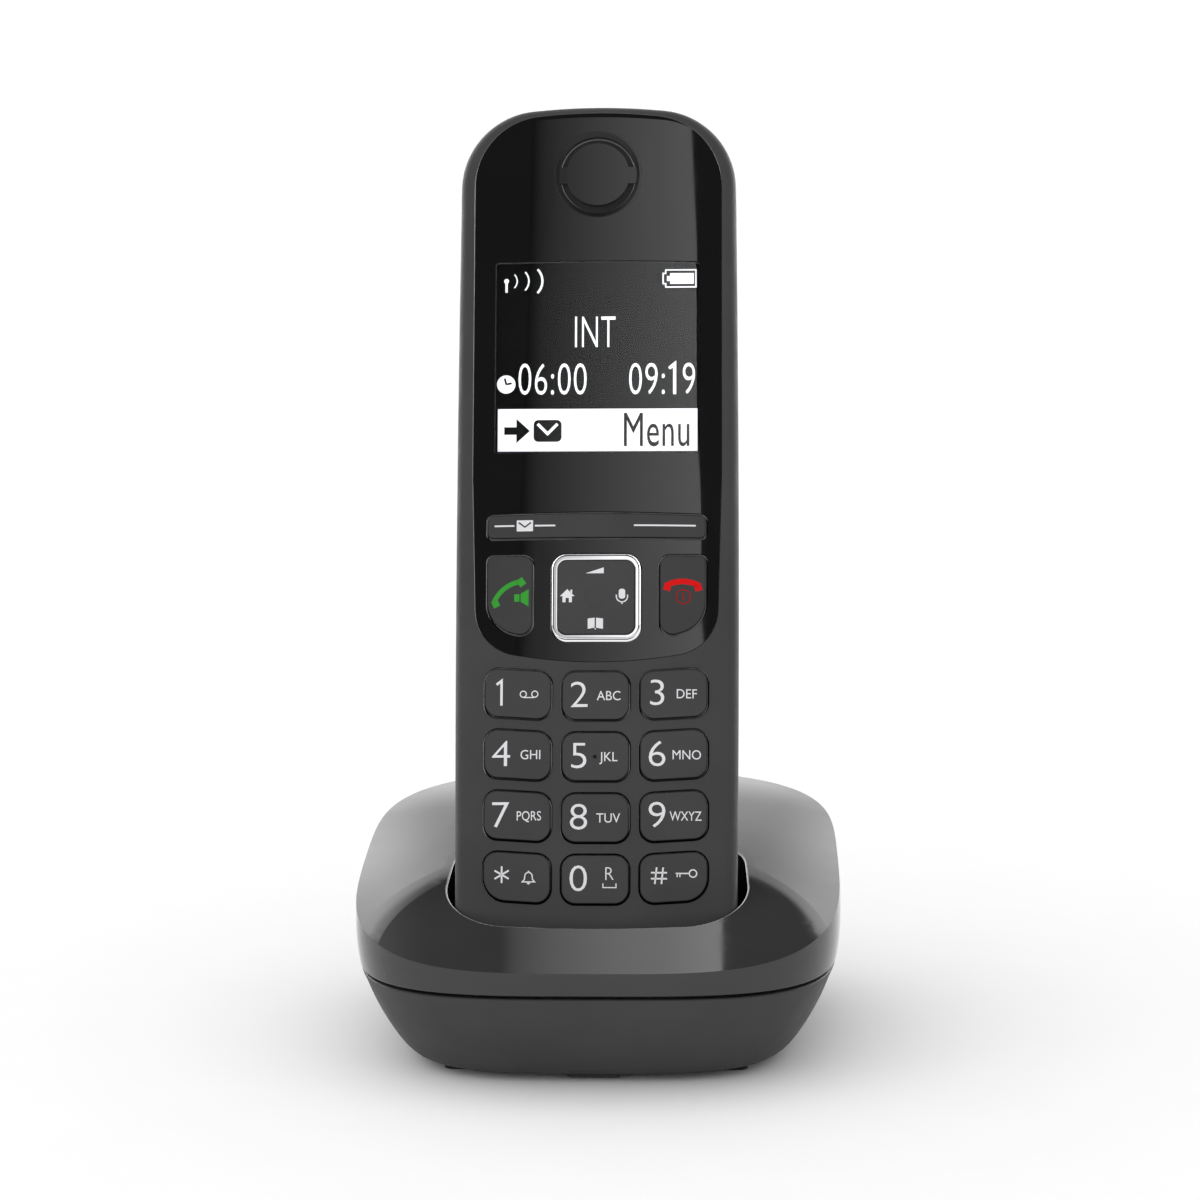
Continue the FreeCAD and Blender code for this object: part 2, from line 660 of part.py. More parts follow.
def front_shell(front):
    recess = prism(grown(panel_outline(AHEAD), PANEL_GAP), Vector(0, FAR, 0))
    recess = recess.cut(crown_body(PANEL_THICKNESS))
    through = FRONT_WALL + SHORT
    cuts = [recess, prism(window_outline(AHEAD, LCD_MARGIN), Vector(0, FAR / 5, 0)),
            rod(EAR_HOLE_RADIUS, (0, AHEAD, EAR_HEIGHT), (0, through, EAR_HEIGHT)),
            inward_box(0, MIC_SLOT_AT, MIC_SLOT_LENGTH / 2, MIC_SLOT_HEIGHT / 2, AHEAD, through - AHEAD)]
    shell = front.cut(cuts + key_holes())
    tip = WELL_DEPTH - WELL_FLOOR - TOUCH
    posts = [rod(POST_RADIUS, (x, FRONT_WALL, POST_AT), (x, tip, POST_AT)) for x in screw_spots()]
    holes = [rod(SCREW_RADIUS, (x, through, POST_AT), (x, tip + SHORT, POST_AT)) for x in screw_spots()]
    return fused([shell] + posts).cut(holes)


def rear_shell(rear):
    """Back half with the battery well, the contact seats and the ringer's slots."""
    thin = handset_block(SIDE_WALL + COVER_GAP, FRONT_WALL)
    hatch = prism(cover_outline(WELL_DEPTH + SHORT, COVER_GAP), Vector(0, FAR, 0))
    shell = rear.cut(hatch)
    low, high = well_limits(WELL_WALL + COVER_LAP)
    well = box((low[0], low[1] - WELL_FLOOR, low[2]), high)
    well = well.common(handset_block(SIDE_WALL / 2, FRONT_WALL))
    inside_low, inside_high = well_limits(0)
    well = well.cut([box(inside_low, inside_high), hatch.cut(thin)])
    shell = fused([shell, well])
    cuts = [pad_prism(side) for side in (-1, 1)]
    for x in screw_spots():
        cuts.append(rod(SCREW_RADIUS + TOUCH, (x, WELL_DEPTH - SHORT, POST_AT),
                        (x, WELL_DEPTH + SHORT, POST_AT)))
    for step in (-1, 0, 1):
        at = RINGER_AT + step * RINGER_SLOT_PITCH
        cuts.append(inward_box(0, at, RINGER_SLOT_HALF_LENGTH, RINGER_SLOT_HALF_WIDTH,
                               back_depth(at) - 2 * SIDE_WALL, FAR))
    return shell.cut(cuts)


def pad_prism(side):
    outline = rectangle(side * PAD_ACROSS, PAD_AT, PAD_WIDTH / 2, PAD_LENGTH / 2, PAD_RADIUS,
                        facing(SPLIT_DEPTH + SHORT))
    return prism(outline, Vector(0, FAR, 0))


def contact_pads(outer):
    skin = outer.cut(handset_block(PAD_THICKNESS, FRONT_WALL))
    return Part.makeCompound([pad_prism(side).common(skin) for side in (-1, 1)])


def earpiece_insert():
    """Chamfered ring, disc and two sunk bridges around the annular sound slot."""
    def round_bar(radius):
        return rod(radius, (0, AHEAD, EAR_HEIGHT), (0, FAR / 4, EAR_HEIGHT))

    disc = round_bar(EAR_RING_RADIUS - TOUCH).common(crown_body(-TOUCH)).cut(crown_body(PANEL_THICKNESS))
    funnel = Part.makeCone(EAR_RING_RADIUS - 2 * TOUCH, EAR_SLOT_RADIUS, EAR_CHAMFER_DEPTH + TOUCH,
                           Vector(0, -TOUCH, EAR_HEIGHT), Vector(0, 1, 0))
    mouth = round_bar(EAR_SLOT_RADIUS).fuse(funnel).cut(round_bar(EAR_DISC_RADIUS))
    bridges = inward_box(0, EAR_HEIGHT, FAR, EAR_BRIDGE_WIDTH / 2, AHEAD, FAR)
    return disc.cut(mouth.cut(bridges.common(crown_body(EAR_BRIDGE_RECESS))))


def board(y):
    half_width = HANDSET_HALF_WIDTH - SIDE_WALL - BOARD_SIDE_GAP
    top = HANDSET_LENGTH - BOARD_TOP_MARGIN
    outline = rounded([(-half_width, BOARD_END_MARGIN, BOARD_FOOT_RADIUS),
                       (half_width, BOARD_END_MARGIN, BOARD_FOOT_RADIUS),
                       (half_width, top, BOARD_TOP_RADIUS),
                       (-half_width, top, BOARD_TOP_RADIUS)], facing(y))
    return prism(outline, Vector(0, BOARD_THICKNESS, 0))


def post_clearances():
    return [rod(POST_RADIUS + POST_CLEARANCE, (x, 0, POST_AT), (x, FAR, POST_AT)) for x in screw_spots()]


def handset_insides(outer):
    board_front = MAT_DEPTH + MAT_THICKNESS
    board_back = board_front + BOARD_THICKNESS
    shapes = {}
    mat_low = KEYPAD_LOW_ROW - KEY_HEIGHT / 2 - MAT_MARGIN
    mat_high = SOFTKEY_AT + SOFTKEY_HEIGHT / 2 + MAT_MARGIN
    mat_half_width = HANDSET_HALF_WIDTH - SIDE_WALL - MAT_SIDE_GAP
    mat = inward_box(0, (mat_low + mat_high) / 2, mat_half_width, (mat_high - mat_low) / 2,
                     MAT_DEPTH, MAT_THICKNESS)
    shapes["keypad_mat"] = mat.cut(post_clearances())
    shapes["handset_board"] = board(board_front).cut(post_clearances())
    lcd = window_outline(LCD_DEPTH, LCD_MARGIN - 2 * TOUCH)
    shapes["lcd_panel"] = prism(lcd, Vector(0, LCD_THICKNESS, 0))
    frame_depth = LCD_DEPTH + LCD_THICKNESS
    frame = window_outline(frame_depth, LCD_FRAME_MARGIN)
    shapes["lcd_frame"] = prism(frame, Vector(0, board_front - frame_depth, 0))
    shapes["earpiece_mesh"] = rod(EAR_HOLE_RADIUS - 2 * TOUCH, (0, EAR_MESH_DEPTH, EAR_HEIGHT),
                                  (0, EAR_MESH_DEPTH + EAR_MESH_THICKNESS, EAR_HEIGHT))
    shapes["earpiece_speaker"] = rod(EAR_SPEAKER_RADIUS, (0, FRONT_WALL + SPEAKER_GAP, EAR_HEIGHT),
                                     (0, board_front, EAR_HEIGHT))
    mic = MIC_SLOT_AT - MIC_BELOW_SLOT
    shapes["microphone"] = rod(MIC_RADIUS, (0, FRONT_WALL + MIC_GAP, mic), (0, board_front, mic))
    shield_at = HANDSET_LENGTH - SHIELD_BELOW_TOP - SHIELD_LENGTH / 2
    shapes["radio_shield"] = inward_box(0, shield_at, SHIELD_HALF_WIDTH, SHIELD_LENGTH / 2,
                                        board_back, SHIELD_HEIGHT)
    antenna_at = HANDSET_LENGTH - ANTENNA_BELOW_TOP - ANTENNA_LENGTH / 2
    shapes["handset_antenna"] = inward_box(0, antenna_at, ANTENNA_HALF_WIDTH, ANTENNA_LENGTH / 2,
                                           board_back, ANTENNA_HEIGHT)
    back = back_depth(RINGER_AT + RINGER_RADIUS) - SIDE_WALL - RINGER_GAP
    shapes["ringer_speaker"] = rod(RINGER_RADIUS, (0, back - RINGER_THICKNESS, RINGER_AT),
                                   (0, back, RINGER_AT))
    shapes.update(battery_shapes(outer))
    return shapes


def battery_shapes(outer):
    cells = []
    contacts = []
    for side in (-1, 1):
        x = side * (CELL_RADIUS + CELL_SIDE_GAP / 2)
        cells.append(battery_cell(x))
        contacts.append(battery_contact(x, CELL_FOOT - WELL_END_MARGIN))
        contacts.append(battery_contact(x, CELL_TOP + CONTACT_GAP))
    skin = outer.cut(handset_block(SIDE_WALL, FRONT_WALL))
    cover = prism(cover_outline(WELL_DEPTH + SHORT, 0), Vector(0, FAR, 0)).common(skin)
    for step in range(3):
        at = BACK_MIDDLE_HEIGHT + GRIP_ABOVE_BEND + step * GRIP_PITCH
        cover = cover.cut(inward_box(0, at, GRIP_HALF_LENGTH, GRIP_WIDTH / 2,
                                     back_depth(at) - GRIP_DEPTH, FAR))
    return {"battery_cells": Part.makeCompound(cells), "battery_contacts": Part.makeCompound(contacts),
            "handset_screws": Part.makeCompound([handset_screw(x) for x in screw_spots()]),
            "battery_cover": cover}


def battery_cell(x):
    depth = WELL_DEPTH + CELL_SEAT_GAP + CELL_RADIUS
    shoulder = CELL_TOP - CELL_NUB_LENGTH
    can = rod(CELL_RADIUS, (x, depth, CELL_FOOT), (x, depth, shoulder))
    nub = rod(CELL_NUB_RADIUS, (x, depth, shoulder), (x, depth, CELL_TOP))
    return fused([can, nub])


def battery_contact(x, low):
    return inward_box(x, low + CONTACT_THICKNESS / 2, CONTACT_HALF_WIDTH, CONTACT_THICKNESS / 2,
                      WELL_DEPTH, CONTACT_HEIGHT)


def handset_screw(x):
    top = WELL_DEPTH + SCREW_HEAD_HEIGHT
    head = rod(SCREW_HEAD_RADIUS, (x, WELL_DEPTH, POST_AT), (x, top, POST_AT))
    shank = rod(SCREW_RADIUS - THREAD_GAP, (x, WELL_DEPTH - SCREW_LENGTH, POST_AT), (x, WELL_DEPTH, POST_AT))
    slot = inward_box(x, POST_AT, SCREW_SLOT_HALF_LENGTH, SCREW_SLOT_HALF_WIDTH,
                      top - SCREW_SLOT_DEPTH, SHORT)
    return fused([head, shank]).cut(slot)


def handset_shapes():
    outer = handset_block(0, 0)
    cavity = handset_block(SIDE_WALL, FRONT_WALL)
    front, rear = handset_shells(outer, cavity)
    panel = prism(panel_outline(AHEAD), Vector(0, FAR, 0)).common(outer)
    panel = panel.cut(crown_body(PANEL_THICKNESS))
    window = prism(window_outline(AHEAD, 0), Vector(0, FAR, 0))
    ear = rod(EAR_RING_RADIUS, (0, AHEAD, EAR_HEIGHT), (0, FAR, EAR_HEIGHT))
    lens = prism(window_outline(AHEAD, -LENS_GAP), Vector(0, FAR, 0)).common(crown_body(LENS_RECESS))
    shapes = {
        "handset_front_shell": front_shell(front),
        "handset_rear_shell": rear_shell(rear),
        "faceplate": panel.cut([window, ear] + key_holes()),
        "display_lens": lens.cut(crown_body(LENS_RECESS + LENS_THICKNESS)),
        "earpiece_insert": earpiece_insert(),
        "charge_pads": contact_pads(outer),
    }
    shapes.update(handset_insides(outer))
    shapes.update(key_shapes())
    return {name: dock(shape) for name, shape in shapes.items()}


# ---------------------------------------------------------------- base envelope
def base_section(half_width, z):
    """Horizontal section of the base: a squarish oval."""
    half_depth = half_width + BASE_EXTRA_DEPTH
    points = []
    for index in range(SECTION_POINTS):
        angle = 2 * math.pi * index / SECTION_POINTS
        across = abs(math.cos(angle)) / half_width
        along = abs(math.sin(angle)) / half_depth
        reach = (across ** BASE_SQUARENESS + along ** BASE_SQUARENESS) ** (-1 / BASE_SQUARENESS)
        points.append(Vector(reach * math.cos(angle), reach * math.sin(angle), z))
    curve = Part.BSplineCurve()
    curve.interpolate(Points=points, PeriodicFlag=True)
    return Part.Wire([curve.toShape()])


def flank_half_width(z):
    """Half width of the lower shell, drawn in towards the underside."""
    share = (z - UNDERSIDE_HEIGHT) / (SEAM_HEIGHT - UNDERSIDE_HEIGHT)
    return UNDERSIDE_HALF_WIDTH + (SEAM_HALF_WIDTH - UNDERSIDE_HALF_WIDTH) * share ** FLANK_POWER


def band_body(inset, low):
    """The upright band of the top cover, bowed out a little above the seam."""
    wires = [base_section(SEAM_HALF_WIDTH + SEAM_STEP - inset, low)]
    for rise, draft in zip(BAND_RISES, BAND_DRAFTS):
        wires.append(base_section(BASE_HALF_WIDTH - draft - inset, COVER_FOOT + rise))
    return Part.makeLoft(wires, True, False)


def dome_ball(inset):
    centre = Vector(0, DOME_CENTRE_Y, DOME_TOP - DOME_RADIUS)
    return Part.makeSphere(DOME_RADIUS - inset, centre, Vector(0, 0, 1), 0, 90, 360)


def slope_height(y):
    return SLOPE_Z + SLOPE_RISE * (y - SLOPE_Y)


def under_slope(inset):
    drop = inset * math.hypot(1, SLOPE_RISE)
    far = 2 * FAR
    wire = rounded([(-far, -far, 0), (far, -far, 0), (far, slope_height(far) - drop, 0),
                    (-far, slope_height(-far) - drop, 0)], sideways(-far))
    return prism(wire, Vector(2 * far, 0, 0))


def off_dome(point):
    return abs((point - Vector(0, DOME_CENTRE_Y, DOME_TOP - DOME_RADIUS)).Length - DOME_RADIUS)


def off_slope(point):
    return abs(point.z - slope_height(point.y))


def base_top_block(inset, low):
    return band_body(inset, low).common(dome_ball(inset)).common(under_slope(inset))


def rounded_top_block():
    block = base_top_block(0, COVER_FOOT)
    ridge = edges_where(block, lambda edge: off_dome(middle_of(edge)) < TOUCH
                        and off_slope(middle_of(edge)) < TOUCH)
    block = block.makeFillet(RIDGE_RADIUS, ridge)
    return block.makeFillet(LIP_RADIUS, rim_at(block, COVER_FOOT))


# ---------------------------------------------------------------- base pieces
def cup_block(margin):
    """The cradle's hollow in the handset's axes, or with a margin its outer wall."""
    front = -CUP_FRONT_GAP + CUP_FRONT_BOW
    bow, bow_radius = bulge(CUP_FRONT_BOW, CUP_FRONT_HALF_WIDTH, CUP_BOW_REACH * CUP_FRONT_HALF_WIDTH)
    floor = -CUP_FLOOR_GAP - margin
    wire = rounded([(-CUP_FRONT_HALF_WIDTH, front, CUP_FRONT_CORNER),
                    (0, front - bow, bow_radius),
                    (CUP_FRONT_HALF_WIDTH, front, CUP_FRONT_CORNER),
                    (CUP_BACK_HALF_WIDTH, CUP_BACK_DEPTH, CUP_BACK_CORNER),
                    (-CUP_BACK_HALF_WIDTH, CUP_BACK_DEPTH, CUP_BACK_CORNER)], level(floor))
    if margin > 0:
        wire = grown(wire, margin)
    block = prism(wire, Vector(0, 0, FAR))
    rim = edges_where(block, lambda edge: edge.BoundBox.ZMax < floor + TOUCH)
    return block.makeFillet(CUP_FLOOR_RADIUS + margin, rim)


def charge_pin(side):
    """Sprung charging contact: round nose through the cradle wall, stop flange behind it."""
    x = side * PAD_ACROSS
    nose_at = back_depth(PAD_AT) + PIN_PAD_GAP + PIN_RADIUS
    flange = CUP_BACK_DEPTH + CUP_WALL + PIN_TRAVEL
    nose = Part.makeSphere(PIN_RADIUS, Vector(x, nose_at, PAD_AT))
    stem = rod(PIN_RADIUS, (x, nose_at, PAD_AT), (x, flange, PAD_AT))
    plate = rod(PIN_FLANGE_RADIUS, (x, flange, PAD_AT), (x, flange + PIN_FLANGE_THICKNESS, PAD_AT))
    return dock(fused([nose, stem, plate]))


def base_posts(low, high):
    return [rod(BASE_POST_RADIUS, (x, BASE_POST_Y, low), (x, BASE_POST_Y, high)) for x in base_post_spots()]


def base_post_spots():
    return [side * BASE_POST_X for side in (-1, 1)]


def top_cover():
    block = rounded_top_block()
    hollow = base_top_block(BASE_WALL, COVER_FOOT - SHORT)
    lower = prism(base_section(SEAM_HALF_WIDTH, COVER_FOOT), Vector(0, 0, -COVER_FOOT))
    reach = block.fuse(lower)
    cup = dock(cup_block(CUP_WALL)).common(reach)
    posts = [post.common(reach) for post in base_posts(BASE_BOARD_HEIGHT + POST_JOINT, FAR)]
    cover = fused([block.cut(hollow), cup] + posts)
    cuts = [dock(cup_block(0))]
    bore = PIN_RADIUS + PIN_RUNNING_GAP
    for side in (-1, 1):
        x = side * PAD_ACROSS
        cuts.append(dock(rod(bore, (x, CUP_BACK_DEPTH - SHORT, PAD_AT),
                             (x, CUP_BACK_DEPTH + CUP_WALL + SHORT, PAD_AT))))
    for x in base_post_spots():
        cuts.append(rod(SCREW_RADIUS, (x, BASE_POST_Y, 0), (x, BASE_POST_Y, BASE_SCREW_TOP + SHORT)))
    return softened_rim(cover.cut(cuts))


def softened_rim(cover):
    """Rounds the edge where the cradle opens through the top."""
    mouth = dock(cup_block(0)).Shells[0]

    def on_mouth(edge):
        at = middle_of(edge)
        if off_dome(at) > RIDGE_RADIUS and off_slope(at) > RIDGE_RADIUS:
            return False
        near_top = min(off_dome(at), off_slope(at)) < RIDGE_RADIUS / 2
        return near_top and mouth.distToShape(Part.Vertex(at))[0] < TOUCH / 10

    return cover.makeFillet(RIM_RADIUS, edges_where(cover, on_mouth))


def bottom_cover():
    span = SEAM_HEIGHT - UNDERSIDE_HEIGHT
    heights = [UNDERSIDE_HEIGHT + span * share for share in FLANK_SHARES]
    outer = Part.makeLoft([base_section(flank_half_width(z), z) for z in heights], True, False)
    outer = outer.makeFillet(LIP_RADIUS, rim_at(outer, SEAM_HEIGHT))
    inner_heights = [FLOOR_TOP] + [z for z in heights if z > FLOOR_TOP + SHORT / 2] + [SEAM_HEIGHT + 1]
    wires = [base_section(flank_half_width(z) - BASE_WALL, z) for z in inner_heights]
    tray = outer.cut(Part.makeLoft(wires, True, False))
    low = BASE_BOARD_HEIGHT
    posts = base_posts(UNDERSIDE_HEIGHT, low + POST_JOINT - 2 * TOUCH)
    for x in (-BASE_BOARD_HALF_WIDTH + BOARD_POST_INSET, BASE_BOARD_HALF_WIDTH - BOARD_POST_INSET):
        for y in (BOARD_POST_INSET, BASE_BOARD_LENGTH - BOARD_POST_BACK_INSET):
            at = BASE_BOARD_Y + y
            posts.append(rod(BOARD_POST_RADIUS, (x, at, FLOOR_TOP - TOUCH), (x, at, low)))
    tray = fused([tray, seam_tongue()] + posts)
    cuts = foot_pads() + [page_key_hole()]
    for x, width in ((LINE_SOCKET_X, LINE_SOCKET_WIDTH), (POWER_SOCKET_X, POWER_SOCKET_WIDTH)):
        side = width / 2 + SOCKET_HOLE_GAP
        cuts.append(box((x - side, SOCKET_MOUTH_Y - SOCKET_LENGTH, SOCKET_LOW - SOCKET_HOLE_GAP),
                        (x + side, FAR, SOCKET_LOW + SOCKET_HEIGHT + SOCKET_HOLE_GAP)))
    head = SCREW_HEAD_RADIUS + POST_CLEARANCE
    seat = UNDERSIDE_HEIGHT + SCREW_HEAD_HEIGHT
    for x in base_post_spots():
        cuts.append(rod(SCREW_RADIUS + 2 * TOUCH, (x, BASE_POST_Y, 0), (x, BASE_POST_Y, BASE_SCREW_TOP)))
        cuts.append(rod(head, (x, BASE_POST_Y, 0), (x, BASE_POST_Y, seat)))
    return tray.cut(cuts)


def seam_tongue():
    """The rim of the tray that stands up inside the top cover."""
    outside = SEAM_HALF_WIDTH + SEAM_STEP - BASE_WALL - TONGUE_GAP
    low = SEAM_HEIGHT - TONGUE_BELOW
    height = TONGUE_BELOW + SEAM_OPEN + TONGUE_ABOVE
    tongue = prism(base_section(outside, low), Vector(0, 0, height))
    return tongue.cut(prism(base_section(outside - TONGUE_WALL, low - SHORT), Vector(0, 0, FAR)))


def foot_pads():
    pads = []
    for x in (-FOOT_PAD_ACROSS, FOOT_PAD_ACROSS):
        for y in (-FOOT_PAD_FRONT, FOOT_PAD_FRONT):
            wire = rectangle(x, y, FOOT_PAD_LENGTH / 2, FOOT_PAD_WIDTH / 2, FOOT_PAD_RADIUS, level(0))
            pads.append(prism(wire, Vector(0, 0, UNDERSIDE_HEIGHT + FOOT_PAD_SEAT)))
    return pads


def page_key_hole():
    wire = rectangle(0, PAGE_KEY_Y, PAGE_KEY_WIDTH / 2 + PAGE_KEY_GAP,
                     PAGE_KEY_DEPTH / 2 + PAGE_KEY_GAP, PAGE_KEY_RADIUS + PAGE_KEY_GAP, level(0))
    return prism(wire, Vector(0, 0, FLOOR_TOP + TOUCH))


def page_key():
    low = FLOOR_TOP + TOUCH
    wire = rectangle(0, PAGE_KEY_Y, PAGE_KEY_WIDTH / 2, PAGE_KEY_DEPTH / 2, PAGE_KEY_RADIUS,
                     level(PAGE_KEY_LOW))
    stem = prism(wire, Vector(0, 0, low + PAGE_FLANGE_THICKNESS / 2 - PAGE_KEY_LOW))
    half_width = PAGE_KEY_WIDTH / 2 + PAGE_FLANGE_MARGIN
    half_depth = PAGE_KEY_DEPTH / 2 + PAGE_FLANGE_MARGIN
    flange = box((-half_width, PAGE_KEY_Y - half_depth, low),
                 (half_width, PAGE_KEY_Y + half_depth, low + PAGE_FLANGE_THICKNESS))
    return fused([stem, flange])


def socket(x, width):
    """Open-mouthed socket housing standing on the base board, with a contact tongue inside."""
    back = SOCKET_MOUTH_Y - SOCKET_LENGTH
    inside = SOCKET_LOW + SOCKET_WALL
    body = box((x - width / 2, back, SOCKET_LOW), (x + width / 2, SOCKET_MOUTH_Y, SOCKET_LOW + SOCKET_HEIGHT))
    hollow = box((x - width / 2 + SOCKET_WALL, back + SOCKET_END_WALL, inside),
                 (x + width / 2 - SOCKET_WALL, FAR, SOCKET_LOW + SOCKET_HEIGHT - SOCKET_WALL))
    tongue = box((x - width / 4, back + SOCKET_END_WALL - SOCKET_TONGUE, inside - SOCKET_TONGUE / 2),
                 (x + width / 4, back + SOCKET_END_WALL + SOCKET_TONGUE, inside + SOCKET_TONGUE / 2))
    return fused([body.cut(hollow), tongue])


def base_screw(x):
    seat = UNDERSIDE_HEIGHT + SCREW_HEAD_HEIGHT
    low = UNDERSIDE_HEIGHT + BASE_SCREW_RECESS
    head = rod(SCREW_HEAD_RADIUS, (x, BASE_POST_Y, low), (x, BASE_POST_Y, seat))
    shank = rod(SCREW_RADIUS - THREAD_GAP, (x, BASE_POST_Y, seat), (x, BASE_POST_Y, BASE_SCREW_TOP))
    slot = box((x - SCREW_SLOT_HALF_LENGTH, BASE_POST_Y - SCREW_SLOT_HALF_WIDTH, 0),
               (x + SCREW_SLOT_HALF_LENGTH, BASE_POST_Y + SCREW_SLOT_HALF_WIDTH, low + SCREW_SLOT_DEPTH))
    return fused([head, shank]).cut(slot)


def base_insides():
    wire = rectangle(0, BASE_BOARD_Y + BASE_BOARD_LENGTH / 2, BASE_BOARD_HALF_WIDTH,
                     BASE_BOARD_LENGTH / 2, BASE_BOARD_RADIUS, level(BASE_BOARD_HEIGHT))
    top = BASE_BOARD_HEIGHT + BOARD_THICKNESS
    shield_y = BASE_BOARD_Y + BASE_SHIELD_INSET
    antenna_y = BASE_BOARD_Y + BASE_ANTENNA_INSET
    switch_low = FLOOR_TOP + TOUCH + PAGE_FLANGE_THICKNESS + PAGE_KEY_TRAVEL + SWITCH_GAP
    switch_back = PAGE_KEY_Y + SWITCH_WIDTH / 2
    return {
        "base_board": prism(wire, Vector(0, 0, BOARD_THICKNESS)),
        "base_shield": box((-BASE_SHIELD_HALF_WIDTH, shield_y, top),
                           (BASE_SHIELD_HALF_WIDTH, shield_y + BASE_SHIELD_LENGTH, top + BASE_SHIELD_HEIGHT)),
        "base_antenna": box((BASE_ANTENNA_X, antenna_y, top),
                            (BASE_ANTENNA_X + BASE_ANTENNA_LENGTH, antenna_y + BASE_ANTENNA_THICKNESS,
                             top + BASE_ANTENNA_HEIGHT)),
        "line_socket": socket(LINE_SOCKET_X, LINE_SOCKET_WIDTH),
        "power_socket": socket(POWER_SOCKET_X, POWER_SOCKET_WIDTH),
        "paging_switch": box((-SWITCH_HALF_LENGTH, switch_back - SWITCH_WIDTH, switch_low),
                             (SWITCH_HALF_LENGTH, switch_back, switch_low + SWITCH_HEIGHT)),
        "base_screws": Part.makeCompound([base_screw(x) for x in base_post_spots()]),
    }


def base_shapes():
    shapes = {
        "base_top_cover": top_cover(),
        "base_bottom_cover": bottom_cover(),
        "rubber_feet": Part.makeCompound(foot_pads()),
        "paging_key": page_key(),
        "charge_pin_left": charge_pin(-1),
        "charge_pin_right": charge_pin(1),
    }
    shapes.update(base_insides())
    return shapes


def main():
    os.makedirs("parts", exist_ok=True)
    shapes = handset_shapes()
    shapes.update(base_shapes())
    for name, shape in sorted(shapes.items()):
        shape.exportStep(os.path.join("parts", name + ".step"))
        print(name, len(shape.Solids), shape.isValid(), round(shape.Volume, 1))


if __name__ == "__main__":
    main()
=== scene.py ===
"""Looks of a cordless phone in its charging base: materials, printed legends, display picture, studio."""

import json
import math

import bpy
from mathutils import Matrix, Vector
from mathutils.bvhtree import BVHTree

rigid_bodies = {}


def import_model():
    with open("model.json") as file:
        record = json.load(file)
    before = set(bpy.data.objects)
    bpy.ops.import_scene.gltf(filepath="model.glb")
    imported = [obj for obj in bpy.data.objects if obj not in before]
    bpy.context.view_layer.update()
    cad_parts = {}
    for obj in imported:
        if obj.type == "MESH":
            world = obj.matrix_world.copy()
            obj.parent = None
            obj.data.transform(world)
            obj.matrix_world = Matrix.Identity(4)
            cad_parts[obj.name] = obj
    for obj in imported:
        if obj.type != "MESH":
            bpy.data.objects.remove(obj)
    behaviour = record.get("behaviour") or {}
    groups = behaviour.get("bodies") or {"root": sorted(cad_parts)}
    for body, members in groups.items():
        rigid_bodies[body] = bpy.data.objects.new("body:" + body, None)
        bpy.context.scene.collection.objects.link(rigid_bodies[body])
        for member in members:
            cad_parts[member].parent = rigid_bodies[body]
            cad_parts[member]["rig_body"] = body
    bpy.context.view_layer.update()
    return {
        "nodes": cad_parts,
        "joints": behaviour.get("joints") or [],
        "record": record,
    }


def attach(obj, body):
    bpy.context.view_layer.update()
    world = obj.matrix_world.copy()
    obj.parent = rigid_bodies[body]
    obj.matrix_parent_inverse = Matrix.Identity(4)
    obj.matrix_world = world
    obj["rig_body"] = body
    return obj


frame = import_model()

MM = 0.001

# Directions on the handset's face, from the joints that lift the handset and press a key.
axis_of = {joint["name"]: Vector(joint["axis"]) for joint in frame["joints"]}
UP = axis_of["handset_lift"]
IN = axis_of["key_5_press"]
OUT = -IN
ACROSS = Vector((1, 0, 0))
RAY_START = 0.2

# Printed ink stands this far out of the surface under it.
INK_THICK = 0.012 * MM
INK_LIFT = 0.014 * MM


# ---------------------------------------------------------------- materials


def node_of(tree, kind, **inputs):
    """A new shader node with some of its inputs set, by name."""
    node = tree.nodes.new(kind)
    for name, value in inputs.items():
        node.inputs[name.replace("_", " ")].default_value = value
    return node


def noise(tree, scale, detail=3.0):
    """Noise in the piece's own coordinates, so that it stays with the piece when that moves."""
    where = tree.nodes.new("ShaderNodeTexCoord")
    grain = node_of(tree, "ShaderNodeTexNoise", Scale=scale, Detail=detail)
    tree.links.new(where.outputs["Object"], grain.inputs["Vector"])
    return grain.outputs["Fac"]


def spread(tree, value, low, high):
    """The value from 0 to 1 brought to the range from low to high."""
    ranger = node_of(tree, "ShaderNodeMapRange", From_Min=0.3, From_Max=0.7, To_Min=low, To_Max=high)
    tree.links.new(value, ranger.inputs["Value"])
    return ranger.outputs["Result"]


def blend_colours(tree, value, first, second):
    """A colour between two, by a value from 0 to 1."""
    ramp = tree.nodes.new("ShaderNodeValToRGB")
    ramp.color_ramp.elements[0].position = 0.3
    ramp.color_ramp.elements[1].position = 0.7
    ramp.color_ramp.elements[0].color = (*first, 1)
    ramp.color_ramp.elements[1].color = (*second, 1)
    tree.links.new(value, ramp.inputs["Fac"])
    return ramp.outputs["Color"]


def bumps(tree, value, strength, depth):
    """A normal from a height."""
    bump = node_of(tree, "ShaderNodeBump", Strength=strength, Distance=depth)
    tree.links.new(value, bump.inputs["Height"])
    return bump.outputs["Normal"]


def combined(tree, operation, first, second):
    """The result of a sum on two values, each a socket or a number."""
    node = tree.nodes.new("ShaderNodeMath")
    node.operation = operation
    for socket, value in zip(node.inputs, (first, second)):
        if isinstance(value, (int, float)):
            socket.default_value = value
        else:
            tree.links.new(value, socket)
    return node.outputs["Value"]


def along_axis(tree, kind, axis):
    """How far the piece's own normal, or its own place, reaches along an axis. Kind is Normal or Object."""
    where = tree.nodes.new("ShaderNodeTexCoord")
    product = tree.nodes.new("ShaderNodeVectorMath")
    product.operation = "DOT_PRODUCT"
    product.inputs[1].default_value = axis
    tree.links.new(where.outputs[kind], product.inputs[0])
    return product.outputs["Value"]


